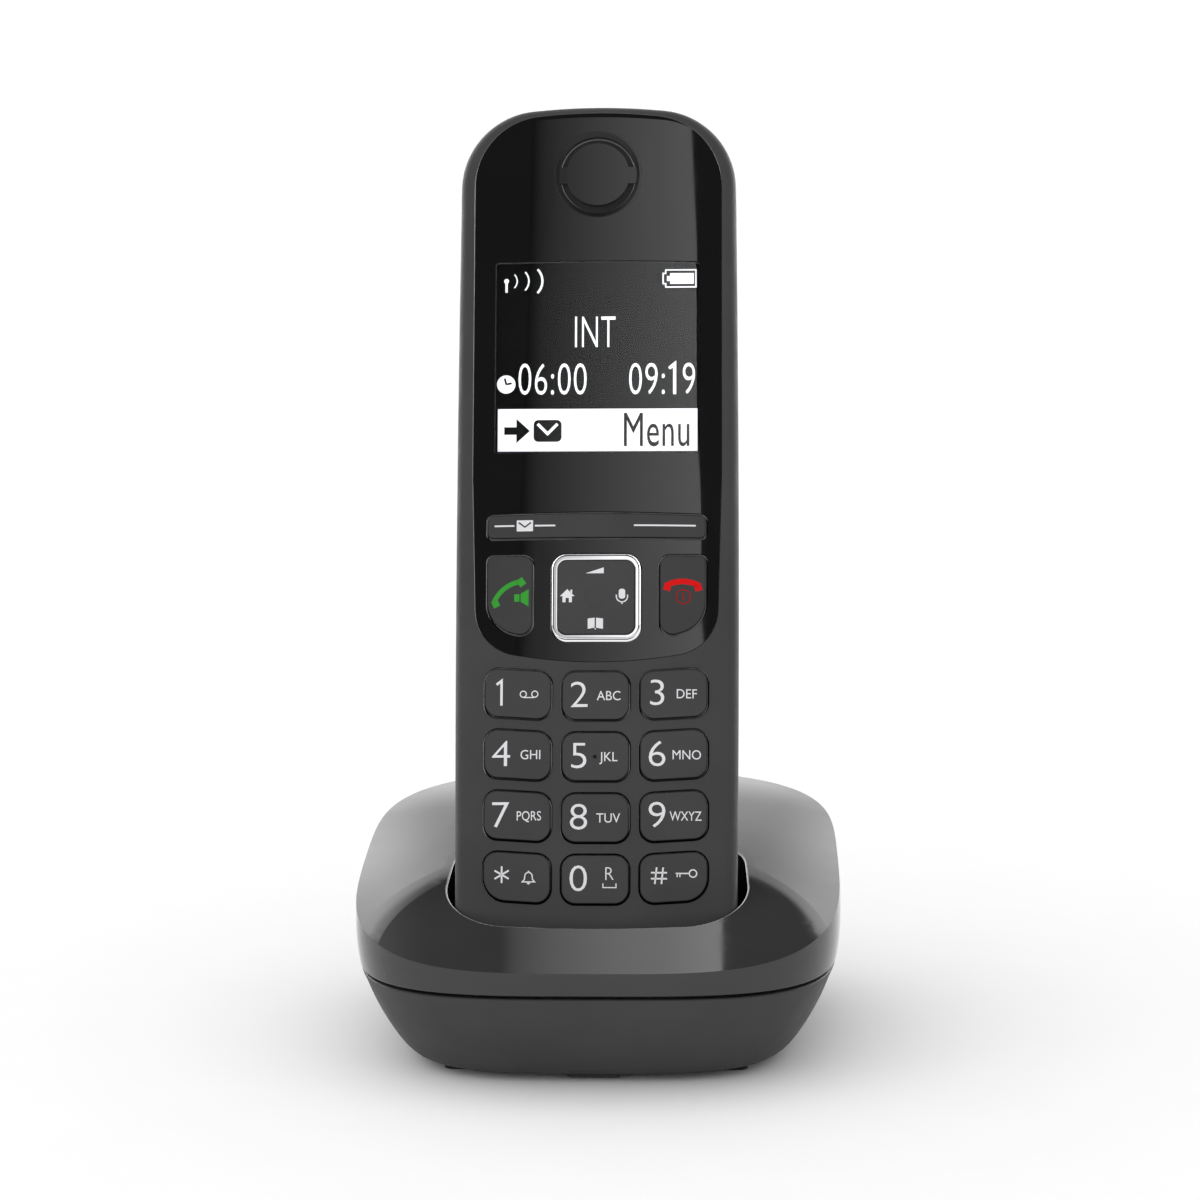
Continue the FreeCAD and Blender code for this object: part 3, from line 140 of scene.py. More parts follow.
GRAIN_SCALE = 2500.0
BLOTCH_SCALE = 60.0


def finish_of(name, colour, roughness, vary=0.08, rough_vary=0.06, bump=0.15, depth=2e-5, **fixed):
    """A moulded, plated or painted finish: slight changes of shade and roughness, and a fine grain."""
    material = bpy.data.materials.new(name)
    material.use_nodes = True
    tree = material.node_tree
    shader = tree.nodes["Principled BSDF"]
    for key, value in fixed.items():
        shader.inputs[key.replace("_", " ")].default_value = value
    darker = tuple(channel * (1 - vary) for channel in colour)
    lighter = tuple(channel * (1 + vary) for channel in colour)
    shade = blend_colours(tree, noise(tree, BLOTCH_SCALE), darker, lighter)
    tree.links.new(shade, shader.inputs["Base Color"])
    wander = spread(tree, noise(tree, BLOTCH_SCALE * 3), roughness - rough_vary, roughness + rough_vary)
    tree.links.new(wander, shader.inputs["Roughness"])
    if bump:
        tree.links.new(bumps(tree, noise(tree, GRAIN_SCALE, 5.0), bump, depth), shader.inputs["Normal"])
    return material


def dull_walls(material, roughness, gloss):
    """Polish only on the face: the walls of holes and slots stay as rough as they come from the mould."""
    tree = material.node_tree
    polish = node_of(tree, "ShaderNodeMapRange", From_Min=0.75, From_Max=0.93, To_Min=roughness)
    tree.links.new(along_axis(tree, "Normal", OUT), polish.inputs["Value"])
    tree.links.new(spread(tree, noise(tree, 180.0), gloss * 0.7, gloss * 1.3), polish.inputs["To Max"])
    tree.links.new(polish.outputs["Result"], tree.nodes["Principled BSDF"].inputs["Roughness"])
    return material


WALL_SLANT = 0.6
FACE_SLANT = 0.93
WALL_SHARE = 0.1


def dim_walls(material, within=()):
    """Little light gets into a narrow gap, so its walls are a deeper shade than the face.

    Within holds (axis, low, high) limits in the piece's own coordinates. Outside them the shade stays.
    """
    tree = material.node_tree
    shader = tree.nodes["Principled BSDF"]
    face_colour = shader.inputs["Base Color"].links[0].from_socket
    slants = {"From_Min": WALL_SLANT, "From_Max": FACE_SLANT}
    openness = node_of(tree, "ShaderNodeMapRange", To_Min=WALL_SHARE, **slants)
    tree.links.new(along_axis(tree, "Normal", OUT), openness.inputs["Value"])
    amount = openness.outputs["Result"]
    for axis, low, high in within:
        inside = node_of(tree, "ShaderNodeMath")
        inside.operation = "COMPARE"
        inside.inputs[1].default_value = (low + high) / 2
        inside.inputs[2].default_value = (high - low) / 2
        tree.links.new(along_axis(tree, "Object", axis), inside.inputs[0])
        outside = combined(tree, "SUBTRACT", 1.0, inside.outputs["Value"])
        amount = combined(tree, "MAXIMUM", amount, outside)
    shade = tree.nodes.new("ShaderNodeVectorMath")
    shade.operation = "SCALE"
    tree.links.new(face_colour, shade.inputs[0])
    tree.links.new(amount, shade.inputs["Scale"])
    tree.links.new(shade.outputs["Vector"], shader.inputs["Base Color"])
    shine = shader.inputs["Specular IOR Level"]
    tree.links.new(combined(tree, "MULTIPLY", amount, shine.default_value), shine)
    return material


def grey(level):
    return (level, level, level * 1.03)


def woven_cloth(name):
    """Fine acoustic cloth: two crossing sets of threads."""
    material = finish_of(name, grey(0.012), 0.8, bump=0)
    tree = material.node_tree
    shader = tree.nodes["Principled BSDF"]
    shader.inputs["Sheen Weight"].default_value = 0.3
    where = tree.nodes.new("ShaderNodeTexCoord")
    heights = []
    for direction in ("X", "Z"):
        threads = node_of(tree, "ShaderNodeTexWave", Scale=600.0, Distortion=0.3)
        threads.bands_direction = direction
        tree.links.new(where.outputs["Object"], threads.inputs["Vector"])
        heights.append(threads.outputs["Fac"])
    crossing = combined(tree, "MAXIMUM", *heights)
    tree.links.new(bumps(tree, crossing, 0.6, 5e-5), shader.inputs["Normal"])
    return material


MIRROR_LIMIT = 0.09


def clear_window(name):
    """A clear window: it shows what lies behind it, and mirrors more at a slant, up to a limit."""
    material = bpy.data.materials.new(name)
    material.use_nodes = True
    tree = material.node_tree
    tree.nodes.remove(tree.nodes["Principled BSDF"])
    through = node_of(tree, "ShaderNodeBsdfTransparent", Color=(0.97, 0.975, 0.98, 1))
    mirror = node_of(tree, "ShaderNodeBsdfGlossy", Color=(0.5, 0.5, 0.5, 1))
    tree.links.new(spread(tree, noise(tree, 150.0), 0.01, 0.03), mirror.inputs["Roughness"])
    slant = node_of(tree, "ShaderNodeFresnel", IOR=1.5)
    mix = tree.nodes.new("ShaderNodeMixShader")
    tree.links.new(combined(tree, "MINIMUM", slant.outputs["Fac"], MIRROR_LIMIT), mix.inputs["Fac"])
    tree.links.new(through.outputs["BSDF"], mix.inputs[1])
    tree.links.new(mirror.outputs["BSDF"], mix.inputs[2])
    tree.links.new(mix.outputs["Shader"], tree.nodes["Material Output"].inputs["Surface"])
    return material


def printed_board(name):
    """Green solder mask over darker traces."""
    material = finish_of(name, (0.02, 0.14, 0.05), 0.35, bump=0)
    tree = material.node_tree
    shader = tree.nodes["Principled BSDF"]
    where = tree.nodes.new("ShaderNodeTexCoord")
    traces = node_of(tree, "ShaderNodeTexBrick", Scale=220.0, Mortar_Size=0.03)
    traces.inputs["Color1"].default_value = (0.015, 0.12, 0.045, 1)
    traces.inputs["Color2"].default_value = (0.02, 0.16, 0.06, 1)
    traces.inputs["Mortar"].default_value = (0.01, 0.07, 0.03, 1)
    tree.links.new(where.outputs["Object"], traces.inputs["Vector"])
    tree.links.new(traces.outputs["Color"], shader.inputs["Base Color"])
    return material


def ink_of(name, colour, roughness, vary):
    """Printed ink: matt, with a slight change of shade."""
    return finish_of(name, colour, roughness, vary=vary, bump=0.05, Specular_IOR_Level=0.1)


materials = {
    "matte_shell": finish_of("matte_shell", grey(0.05), 0.5, bump=0.12, Specular_IOR_Level=0.16),
    "satin_cover": finish_of("satin_cover", grey(0.028), 0.035, rough_vary=0.01, bump=0.01),
    "gloss_panel": dim_walls(dull_walls(finish_of("gloss_panel", grey(0.0045), 0.04, bump=0), 0.95, 0.04)),
    "key_cap": dim_walls(finish_of("key_cap", grey(0.052), 0.45, bump=0.1, Specular_IOR_Level=0.12)),
    "panel_key": dim_walls(finish_of("panel_key", grey(0.046), 0.42, bump=0.1, Specular_IOR_Level=0.12)),
    "chrome_ring": finish_of("chrome_ring", grey(0.8), 0.07, rough_vary=0.03, bump=0, Metallic=1.0),
    "clear_lens": clear_window("clear_lens"),
    "display_glass": finish_of("display_glass", grey(0.006), 0.35, bump=0, Specular_IOR_Level=0.0),
    "dark_frame": finish_of("dark_frame", grey(0.012), 0.5),
    "speaker_cloth": woven_cloth("speaker_cloth"),
    "speaker_metal": finish_of("speaker_metal", grey(0.45), 0.35, Metallic=1.0),
    "silicone": finish_of("silicone", grey(0.006), 0.8, Specular_IOR_Level=0.1),
    "circuit_board": printed_board("circuit_board"),
    "tin_plate": finish_of("tin_plate", grey(0.6), 0.3, rough_vary=0.1, Metallic=1.0),
    "cell_sleeve": finish_of("cell_sleeve", (0.1, 0.3, 0.13), 0.3, Coat_Weight=0.4),
    "spring_steel": finish_of("spring_steel", (0.6, 0.58, 0.54), 0.28, Metallic=1.0),
    "contact_gold": finish_of("contact_gold", (0.75, 0.58, 0.26), 0.25, Metallic=1.0),
    "screw_steel": finish_of("screw_steel", grey(0.45), 0.35, Metallic=1.0),
    "foot_rubber": finish_of("foot_rubber", grey(0.012), 0.75, bump=0.3, depth=4e-5),
    "foot_rubber_key": finish_of("foot_rubber_key", grey(0.02), 0.5),
    "socket_plastic": finish_of("socket_plastic", grey(0.02), 0.45),
    "legend_ink": ink_of("legend_ink", grey(0.68), 0.55, 0.03),
    "green_ink": ink_of("green_ink", (0.035, 0.30, 0.03), 0.5, 0.04),
    "red_ink": ink_of("red_ink", (0.6, 0.003, 0.003), 0.5, 0.04),
    "dark_red_ink": ink_of("dark_red_ink", (0.3, 0.006, 0.006), 0.5, 0.04),
    "lit_segment": finish_of("lit_segment", grey(0.9), 0.5, vary=0.02, bump=0, Emission_Strength=0.6,
                             Emission_Color=(1, 1, 1, 1)),
    "dark_segment": finish_of("dark_segment", grey(0.012), 0.5, vary=0.05, bump=0, Specular_IOR_Level=0.0),
}

slot_of = {part["node"]: part["material_slot"] for part in frame["record"]["subparts"]}
for name, piece in frame["nodes"].items():
    piece.data.materials.clear()
    piece.data.materials.append(materials[slot_of[name]])


# ---------------------------------------------------------------- flat shapes, in millimetres
# A flat shape is (points, faces) on a plane. Its first axis runs across the handset, its second up it.

STEP = 0.8


def arc(x, y, radius, start, end, count=16):
    """Points on an arc, angles in degrees."""
    angles = [math.radians(start + (end - start) * i / count) for i in range(count + 1)]
    return [(x + radius * math.cos(angle), y + radius * math.sin(angle)) for angle in angles]


def circle(x, y, radius, count=28):
    return arc(x, y, radius, 0, 360, count)[:-1]


def filled(points):
    """A shape filled inside an outline."""
    return [Vector(point) for point in points], [list(range(len(points)))]


def rounded(x, y, width, height, radius):
    """Outline of a rectangle with round corners, by its centre."""
    right, top = width / 2 - radius, height / 2 - radius
    corners = [(right, top, 0), (-right, top, 90), (-right, -top, 180), (right, -top, 270)]
    return [point for dx, dy, turn in corners for point in arc(x + dx, y + dy, radius, turn, turn + 90, 5)]


def box_shape(left, low, right, high):
    """A filled upright rectangle, cut into narrow strips so that it can follow a curved face."""
    return stroke([(left, (low + high) / 2), (right, (low + high) / 2)], high - low)


def refined(points, closed):
    """The same path with no stretch longer than STEP."""
    ends = points[1:] + points[:1] if closed else points[1:]
    path = []
    for start, end in zip(points, ends):
        parts = max(1, math.ceil((end - start).length / STEP))
        path += [start.lerp(end, i / parts) for i in range(parts)]
    return path if closed else path + [points[-1]]


def stroke(points, width, closed=False):
    """A line of some width along a path."""
    path = refined([Vector(point) for point in points], closed)
    count = len(path)
    sides = []
    for i, point in enumerate(path):
        before = path[i - 1] if closed or i else None
        after = path[(i + 1) % count] if closed or i < count - 1 else None
        ways = [pair for pair in ((before, point), (point, after)) if None not in pair]
        steps = [(end - start).normalized() for start, end in ways]
        along = sum(steps, Vector((0, 0))).normalized()
        square = Vector((-along.y, along.x))
        mitre = max(0.4, abs(square.dot(Vector((-steps[0].y, steps[0].x)))))
        reach = width / 2 / mitre
        sides += [point + square * reach, point - square * reach]
    faces = []
    for i in range(count if closed else count - 1):
        j = (i + 1) % count
        faces.append([2 * i, 2 * i + 1, 2 * j + 1, 2 * j])
    return sides, faces


def placed(shape, dx=0.0, dy=0.0):
    """A shape moved across and up."""
    return [point + Vector((dx, dy)) for point in shape[0]], shape[1]


def moved(shapes, dx=0.0, dy=0.0):
    """Several shapes moved alike."""
    return [placed(shape, dx, dy) for shape in shapes]


def joined(shapes):
    """Several shapes as one list of points and faces."""
    points, faces = [], []
    for shape_points, shape_faces in shapes:
        start = len(points)
        points += shape_points
        faces += [[start + index for index in face] for face in shape_faces]
    return points, faces


def lettering(text, height, thin=0.0, narrow=1.0, spacing=1.0):
    """Flat letters whose capitals have that height, centred on the origin."""
    curve = bpy.data.curves.new("letters", "FONT")
    curve.size = 1.0
    curve.space_character = spacing
    curve.resolution_u = 4
    probe = bpy.data.objects.new("letters", curve)
    bpy.context.scene.collection.objects.link(probe)

    def flat(body):
        curve.body = body
        bpy.context.view_layer.update()
        mesh = probe.to_mesh()
        points = [Vector(vertex.co[:2]) for vertex in mesh.vertices]
        faces = [list(face.vertices) for face in mesh.polygons]
        probe.to_mesh_clear()
        return points, faces

    capital = max(point.y for point in flat("H")[0])
    curve.offset = -thin * capital
    points, faces = flat(text)
    bpy.data.objects.remove(probe)
    bpy.data.curves.remove(curve)
    scale = height / capital
    middle = (min(point.x for point in points) + max(point.x for point in points)) / 2
    sized = [((point.x - middle) * scale * narrow, (point.y - capital / 2) * scale) for point in points]
    return [Vector(point) for point in sized], faces


# ---------------------------------------------------------------- printing on a face

surface_trees = {}
printed = []


def surface_tree(node):
    """The CAD node's surface, for finding where a line along IN meets it."""
    if node not in surface_trees:
        mesh = frame["nodes"][node].data
        corners = [vertex.co for vertex in mesh.vertices]
        surface_trees[node] = BVHTree.FromPolygons(corners, [list(face.vertices) for face in mesh.polygons])
    return surface_trees[node]


def face_span(node):
    """(left, right, low, high) of a CAD node across and up the handset, in millimetres."""
    corners = [vertex.co for vertex in frame["nodes"][node].data.vertices]
    across = [corner.dot(ACROSS) / MM for corner in corners]
    up = [corner.dot(UP) / MM for corner in corners]
    return min(across), max(across), min(up), max(up)


# Only the walls of the key holes are dim in the front shell, so the shade is kept to the keypad.
KEYPAD_HALF_WIDTH = 20.5 * MM
KEYPAD_MARGIN = 1.0 * MM
HOLE_DEPTH = 3.0 * MM
keypad_top = face_span("key_1")[3] * MM + KEYPAD_MARGIN
keypad_foot = face_span("key_0")[2] * MM - KEYPAD_MARGIN
key_front = max(vertex.co.dot(OUT) for vertex in frame["nodes"]["key_5"].data.vertices)
KEYPAD = ((ACROSS, -KEYPAD_HALF_WIDTH, KEYPAD_HALF_WIDTH), (UP, keypad_foot, keypad_top),
          (OUT, key_front - HOLE_DEPTH, key_front + KEYPAD_MARGIN))
dim_walls(materials["matte_shell"], within=KEYPAD)


def print_on(node, name, shapes, ink, centre=None, lift=INK_LIFT, thick=INK_THICK):
    """Lays flat shapes on a CAD node's face as one thin closed piece that rides with the node's body."""
    points, faces = joined(shapes)
    left, right, low, high = face_span(node)
    middle = centre or ((left + right) / 2, (low + high) / 2)
    tree = surface_tree(node)
    front, back = [], []
    for point in points:
        start = (ACROSS * (point.x + middle[0]) + UP * (point.y + middle[1])) * MM + OUT * RAY_START
        hit = tree.ray_cast(start, IN)[0]
        if hit is None:
            raise RuntimeError(f"{name} runs off {node}")
        front.append(hit + OUT * (lift + thick))
        back.append(hit + OUT * (lift - thick))
    count = len(points)
    solid = [list(face) for face in faces] + [[index + count for index in reversed(face)] for face in faces]
    edges = {(face[i - 1], face[i]) for face in faces for i in range(len(face))}
    solid += [[b, a, a + count, b + count] for a, b in edges if (b, a) not in edges]
    mesh = bpy.data.meshes.new(name)
    mesh.from_pydata(front + back, [], solid)
    mesh.validate()
    mesh.update()
    piece = bpy.data.objects.new(name, mesh)
    bpy.context.scene.collection.objects.link(piece)
    piece.data.materials.append(materials[ink])
    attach(piece, frame["nodes"][node]["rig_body"])
    printed.append(piece)


# ---------------------------------------------------------------- small pictures, about their centre


def voicemail():
    loops = [stroke(circle(x, 0.12, 0.52), 0.18, closed=True) for x in (-0.98, 0.98)]
    return loops + [stroke([(-0.98, -0.45), (0.98, -0.45)], 0.18)]


def bell():
    dome = arc(0, 0.25, 0.62, 180, 0, 12)
    outline = [(-1.05, -0.72), (-0.68, -0.3)] + dome + [(0.68, -0.3), (1.05, -0.72)]
    clapper = filled(arc(0, -0.85, 0.3, 180, 360, 8))
    return [stroke(outline, 0.2, closed=True), clapper, filled(circle(0, 1.0, 0.16, 12))]


def space_mark():
    return [stroke([(-1.1, 0.35), (-1.1, -0.35), (1.1, -0.35), (1.1, 0.35)], 0.18)]


def lock_key():
    bow = stroke(circle(1.15, 0, 0.62), 0.22, closed=True)
    bits = [stroke([(x, 0), (x, -0.62)], 0.2) for x in (-1.5, -1.05)]
    return [bow, stroke([(0.55, 0), (-1.75, 0)], 0.22)] + bits


def envelope(width, height, ink_width):
    """A filled envelope and its flap line."""
    body = filled(rounded(0, 0, width, height, 0.12))
    side, top = width * 0.38, height * 0.3
    flap = stroke([(-side, top), (0, -height * 0.12), (side, top)], ink_width)
    return [body], [flap]


def talk_mark():
    """A receiver tilted as when it is picked up."""
    bow = stroke(arc(2.6, -3.4, 5.75, 157, 95, 16), 0.8)
    low_end = stroke([(-2.95, -1.7), (-1.9, -1.2)], 1.2)
    high_end = stroke([(1.55, 2.75), (2.3, 1.65)], 1.2)
    return [bow, low_end, high_end]


def loudspeaker():
    cone = filled([(1.85, -1.15), (3.2, -1.95), (3.2, 1.0), (1.85, 0.2)])
    return [box_shape(0.75, -1.1, 1.65, 0.15), cone]


def hung_up_mark():
    bow = stroke(arc(0, -3.6, 5.9, 119, 61, 14), 0.95)
    ends = [stroke([(side * 2.5, 1.75), (side * 2.75, 0.75)], 1.2) for side in (-1, 1)]
    return [bow] + ends


def power_mark():
    return [stroke(circle(0, 0, 1.2), 0.2, closed=True), stroke([(0, -0.62), (0, 0.62)], 0.24)]


def volume_wedge():
    return [filled([(-1.6, -0.45), (1.5, -0.45), (1.5, 0.55)])]


def house():
    door = [(-0.28, -1.1), (-0.28, -0.35), (0.28, -0.35), (0.28, -1.1)]
    walls = [(-0.8, -1.1)] + door + [(0.8, -1.1), (0.8, -0.05)]
    roof = [(1.25, -0.05), (0, 1.15), (-1.25, -0.05), (-0.8, -0.05)]
    return [filled(walls + roof), box_shape(0.55, 0.45, 0.85, 1.05)]


def microphone_mark():
    cradle = stroke([(-0.95, 0.2)] + arc(0, -0.1, 0.95, 180, 360, 14) + [(0.95, 0.2)], 0.2)
    return [filled(rounded(0, 0.35, 1.1, 1.7, 0.45)), cradle, stroke([(0, -1.05), (0, -1.4)], 0.2)]


def open_book():
    page = [(0.12, -0.75), (1.3, -0.95), (1.3, 0.8), (0.12, 0.95)]
    pages = [filled(page), filled([(-x, y) for x, y in reversed(page)])]
    return pages + [stroke([(-0.12, -0.95), (0.12, -0.95)], 0.2)]


def arrow():
    head = [(-0.1, -2.1), (2.2, 0.0), (-0.1, 2.1)]
    return [filled([(-2.2, -0.65), (-0.1, -0.65)] + head + [(-0.1, 0.65), (-2.2, 0.65)])]


def hatch_mark():
    upright = [stroke([(x - 0.15, -1.4), (x + 0.15, 1.4)], 0.28) for x in (-0.55, 0.55)]
    level = [stroke([(-1.35, y), (1.35, y)], 0.28) for y in (-0.5, 0.5)]
    return upright + level


def star_mark():
    rays = circle(0, 0, 1.4, 12)
    return [stroke([rays[hour + 6], rays[hour]], 0.3) for hour in (3, 1, 5)]


# ---------------------------------------------------------------- legends on the keys

DIGIT_HEIGHT = 4.35
LETTER_HEIGHT = 1.55
DIGIT_AT = (-2.8, 0.2)
LETTERS_AT = 2.2
LONG_WORD_SHIFT = -0.2
LETTERS = {"2": "ABC", "3": "DEF", "4": "GHI", "5": "JKL", "6": "MNO", "7": "PQRS", "8": "TUV", "9": "WXYZ"}
RECALL_AT = (2.45, 1.0)
SPACE_AT = (2.45, -1.0)
VOICEMAIL_AT = (1.9, -0.2)


def one(height, width, ink_width):
    """A figure one with a flag, which the built-in letters draw as a bare bar."""
    return stroke([(-width, height * 0.32), (0, height / 2 - ink_width / 3), (0, -height / 2)], ink_width)


def digit_legend(digit):
    """The digit at the left of the key, and what is printed beside it."""
    if digit == "1":
        figure = one(DIGIT_HEIGHT, 0.85, 0.42)
    else:
        figure = lettering(digit, DIGIT_HEIGHT, thin=0.015, narrow=1.1)
    shapes = [placed(figure, *DIGIT_AT)]
    word = LETTERS.get(digit, "")
    if len(word) > 3:
        shapes.append(placed(lettering(word, LETTER_HEIGHT, narrow=0.79), LETTERS_AT + LONG_WORD_SHIFT))
    elif word:
        shapes.append(placed(lettering(word, LETTER_HEIGHT, narrow=0.93), LETTERS_AT))
    if digit == "1":
        shapes += moved(voicemail(), *VOICEMAIL_AT)
    if digit == "0":
        shapes.append(placed(lettering("R", 2.2, thin=0.02, narrow=0.9), *RECALL_AT))
        shapes += moved(space_mark(), *SPACE_AT)
    return shapes


for digit in "0123456789":
    print_on("key_" + digit, "legend_" + digit, digit_legend(digit), "legend_ink")
star_legend = moved(star_mark(), -2.55, 0.45) + moved(bell(), 2.0, -0.05)
hash_legend = moved(hatch_mark(), -2.45, 0.3) + moved(lock_key(), 2.1, 0.7)
print_on("key_star", "legend_star", star_legend, "legend_ink")
print_on("key_hash", "legend_hash", hash_legend, "legend_ink")
print_on("key_5", "middle_dot", [filled(circle(-0.1, 0, 0.3))], "dark_segment", thick=0.1 * MM)

print_on("talk_key", "talk_receiver", talk_mark(), "green_ink")
print_on("talk_key", "talk_loudspeaker", loudspeaker(), "green_ink")
print_on("end_key", "end_receiver", hung_up_mark(), "red_ink")
print_on("end_key", "end_power_mark", moved(power_mark(), 0.1, -0.3), "dark_red_ink")

nav_marks = {
    "volume": moved(volume_wedge(), -0.2, 4.5),
    "home": moved(house(), -4.9, 0.2),
    "microphone": moved(microphone_mark(), 4.4, 0.2),
    "book": moved(open_book(), -0.1, -4.5),
}
for name, marks in nav_marks.items():
    print_on("nav_key", "nav_" + name, marks, "legend_ink")

SOFT_LINE = 0.28
SOFT_SPANS = ((-17.4, -14.0), (-10.5, -7.0), (6.4, 16.9))
SOFT_ENVELOPE_AT = -12.2
soft_lines = [stroke([(left, 0), (right, 0)], SOFT_LINE) for left, right in SOFT_SPANS]
sheet, flap = envelope(2.8, 1.9, 0.22)
print_on("softkey_bar", "softkey_lines", soft_lines, "legend_ink")
print_on("softkey_bar", "softkey_envelope", moved(sheet, SOFT_ENVELOPE_AT), "legend_ink")
flap = moved(flap, SOFT_ENVELOPE_AT)
print_on("softkey_bar", "softkey_envelope_flap", flap, "dark_segment", lift=INK_LIFT * 2.5)


# ---------------------------------------------------------------- picture on the display

# Columns and rows are fractions of the window from its left and its top. Layers lie over each other.
LCD_NARROW = 0.65
TIME_ROW = 0.605
CLOCK_AT = (0.05, 0.633)
MENU_ROW = 0.878
BAR_MARGIN = 0.35
BAR_HALF_HEIGHT = 3.7
WORD_HEIGHT = 5.5
window_left, window_right, window_low, window_high = face_span("display_lens")
window_width = window_right - window_left
window_height = window_high - window_low


def lcd(name, shapes, column, row, ink="lit_segment", layer=1):
    """Shows shapes on the display, by column and row."""
    centre = (window_left + column * window_width, window_high - row * window_height)
    print_on("lcd_panel", name, shapes, ink, centre=centre, lift=INK_LIFT * (0.5 + 2.5 * layer))


def lcd_text(name, text, column, row, height=WORD_HEIGHT, narrow=LCD_NARROW, thin=0.013, **place):
    lcd(name, [lettering(text, height, thin=thin, narrow=narrow, spacing=1.05)], column, row, **place)


def signal_mark():
    """An aerial and three waves, each given by its reach, its height and its width."""
    waves = ((1.5, 1.35, 0.22), (3.4, 1.85, 0.28), (5.6, 2.4, 0.38))
    rings = [stroke(arc(x - height, 0, height * 1.25, -44, 44), width) for x, height, width in waves]
    return [filled(circle(0, 0, 0.42)), stroke([(0, 0), (0, -2.0)], 0.4)] + rings


def battery_mark():
    cap = [(-2.5, 0.9), (-2.95, 0.9), (-2.95, -0.9), (-2.5, -0.9)]
    case = stroke([(-2.5, -1.5), (2.7, -1.5), (2.7, 1.5), (-2.5, 1.5)] + cap, 0.25, closed=True)
    return [case, box_shape(-1.75, -0.95, 2.35, 0.95), box_shape(-2.3, -0.45, -1.7, 0.45)]


lcd("lcd_signal", signal_mark(), 0.048, 0.087)
lcd("lcd_battery", battery_mark(), 0.905, 0.077)
lcd_text("lcd_word", "INT", 0.487, 0.357, narrow=0.55)
clock_hands = [stroke([(-0.25, 1.05), (0, 0)], 0.32), stroke([(0, 0), (0.95, 0.2)], 0.32)]
lcd("lcd_clock", [filled(circle(0, 0, 1.6))], *CLOCK_AT)
lcd("lcd_clock_hands", clock_hands, *CLOCK_AT, ink="dark_segment", layer=2)
lcd_text("lcd_call_time", "06:00", 0.278, TIME_ROW)
lcd_text("lcd_time", "09:", 0.742, TIME_ROW)
lcd("lcd_time_one", [one(WORD_HEIGHT, 0.95, 0.55)], 0.878, TIME_ROW)
lcd_text("lcd_time_nine", "9", 0.948, TIME_ROW)
bar_end = window_width / 2 - BAR_MARGIN
lcd("lcd_bar", [box_shape(-bar_end, -BAR_HALF_HEIGHT, bar_end, BAR_HALF_HEIGHT)], 0.5, 0.874)
lcd("lcd_arrow", arrow(), 0.105, MENU_ROW, ink="dark_segment", layer=2)
lcd("lcd_envelope", [filled(rounded(0, 0, 4.8, 3.8, 0.8))], 0.255, MENU_ROW, ink="dark_segment", layer=2)
lcd("lcd_envelope_flap", [stroke([(-1.7, 1.2), (0, -0.5), (1.7, 1.2)], 0.5)], 0.255, MENU_ROW, layer=3)
lcd_text("lcd_menu", "Menu", 0.79, 0.872, height=5.8, narrow=0.6, thin=0.0, ink="dark_segment", layer=2)


# ---------------------------------------------------------------- studio


def stage_plane(name, centre, right, up, width, height):
    """A flat stage piece by its centre, the directions of its sides and their lengths."""
    mesh = bpy.data.meshes.new(name)
    centre = Vector(centre)
    right = Vector(right).normalized() * width / 2
    up = Vector(up).normalized() * height / 2
    corners = [centre - right - up, centre + right - up, centre + right + up, centre - right + up]
    mesh.from_pydata(corners, [], [(0, 1, 2, 3)])
    mesh.uv_layers.new(name="UVMap")
    piece = bpy.data.objects.new(name, mesh)
    bpy.context.scene.collection.objects.link(piece)
    for loop, uv in zip(mesh.uv_layers[0].data, ((0, 0), (1, 0), (1, 1), (0, 1))):
        loop.uv = uv
    return piece


def softbox(name, centre, up, width, height, strength, stops):
    """A glowing panel that only mirror reflections see. A stop is (place from the left, share of light)."""
    piece = stage_plane(name, centre, ACROSS, up, width, height)
    piece.visible_camera = False
    piece.visible_diffuse = False
    piece.visible_shadow = False
    material = bpy.data.materials.new(name)
    material.use_nodes = True
    tree = material.node_tree
    tree.nodes.remove(tree.nodes["Principled BSDF"])
    where = tree.nodes.new("ShaderNodeTexCoord")
    split = tree.nodes.new("ShaderNodeSeparateXYZ")
    tree.links.new(where.outputs["UV"], split.inputs["Vector"])
    ramp = tree.nodes.new("ShaderNodeValToRGB").color_ramp
    for place, share in stops[1:-1]:
        ramp.elements.new(place)
    for element, (place, share) in zip(ramp.elements, stops):
        element.position = place
        element.color = (share, share, share, 1)
    tree.links.new(split.outputs["X"], tree.nodes["Color Ramp"].inputs["Fac"])
    glow = node_of(tree, "ShaderNodeEmission", Strength=strength)
    tree.links.new(tree.nodes["Color Ramp"].outputs["Color"], glow.inputs["Color"])
    tree.links.new(glow.outputs["Emission"], tree.nodes["Material Output"].inputs["Surface"])
    piece.data.materials.append(material)


def rising(tree, value, start, end, low=0.0, high=1.0):
    """Goes smoothly from low to high as the value goes from start to end."""
    node = node_of(tree, "ShaderNodeMapRange", From_Min=start, From_Max=end, To_Min=low, To_Max=high)
    node.interpolation_type = "SMOOTHSTEP"
    tree.links.new(value, node.inputs["Value"])
    return node.outputs["Result"]


# Strengths of the light all round, of the backdrop that the camera sees, and of what mirror reflections see.
SKY_LIGHT = 1.15
SKY_LEAN = 0.3
BACKDROP = 1.05
MIRROR_DARK = 0.08
SWEEP_SHIFT = 0.042
SWEEP_MIDDLE = 1.15
SWEEP_SIDE = 3.3


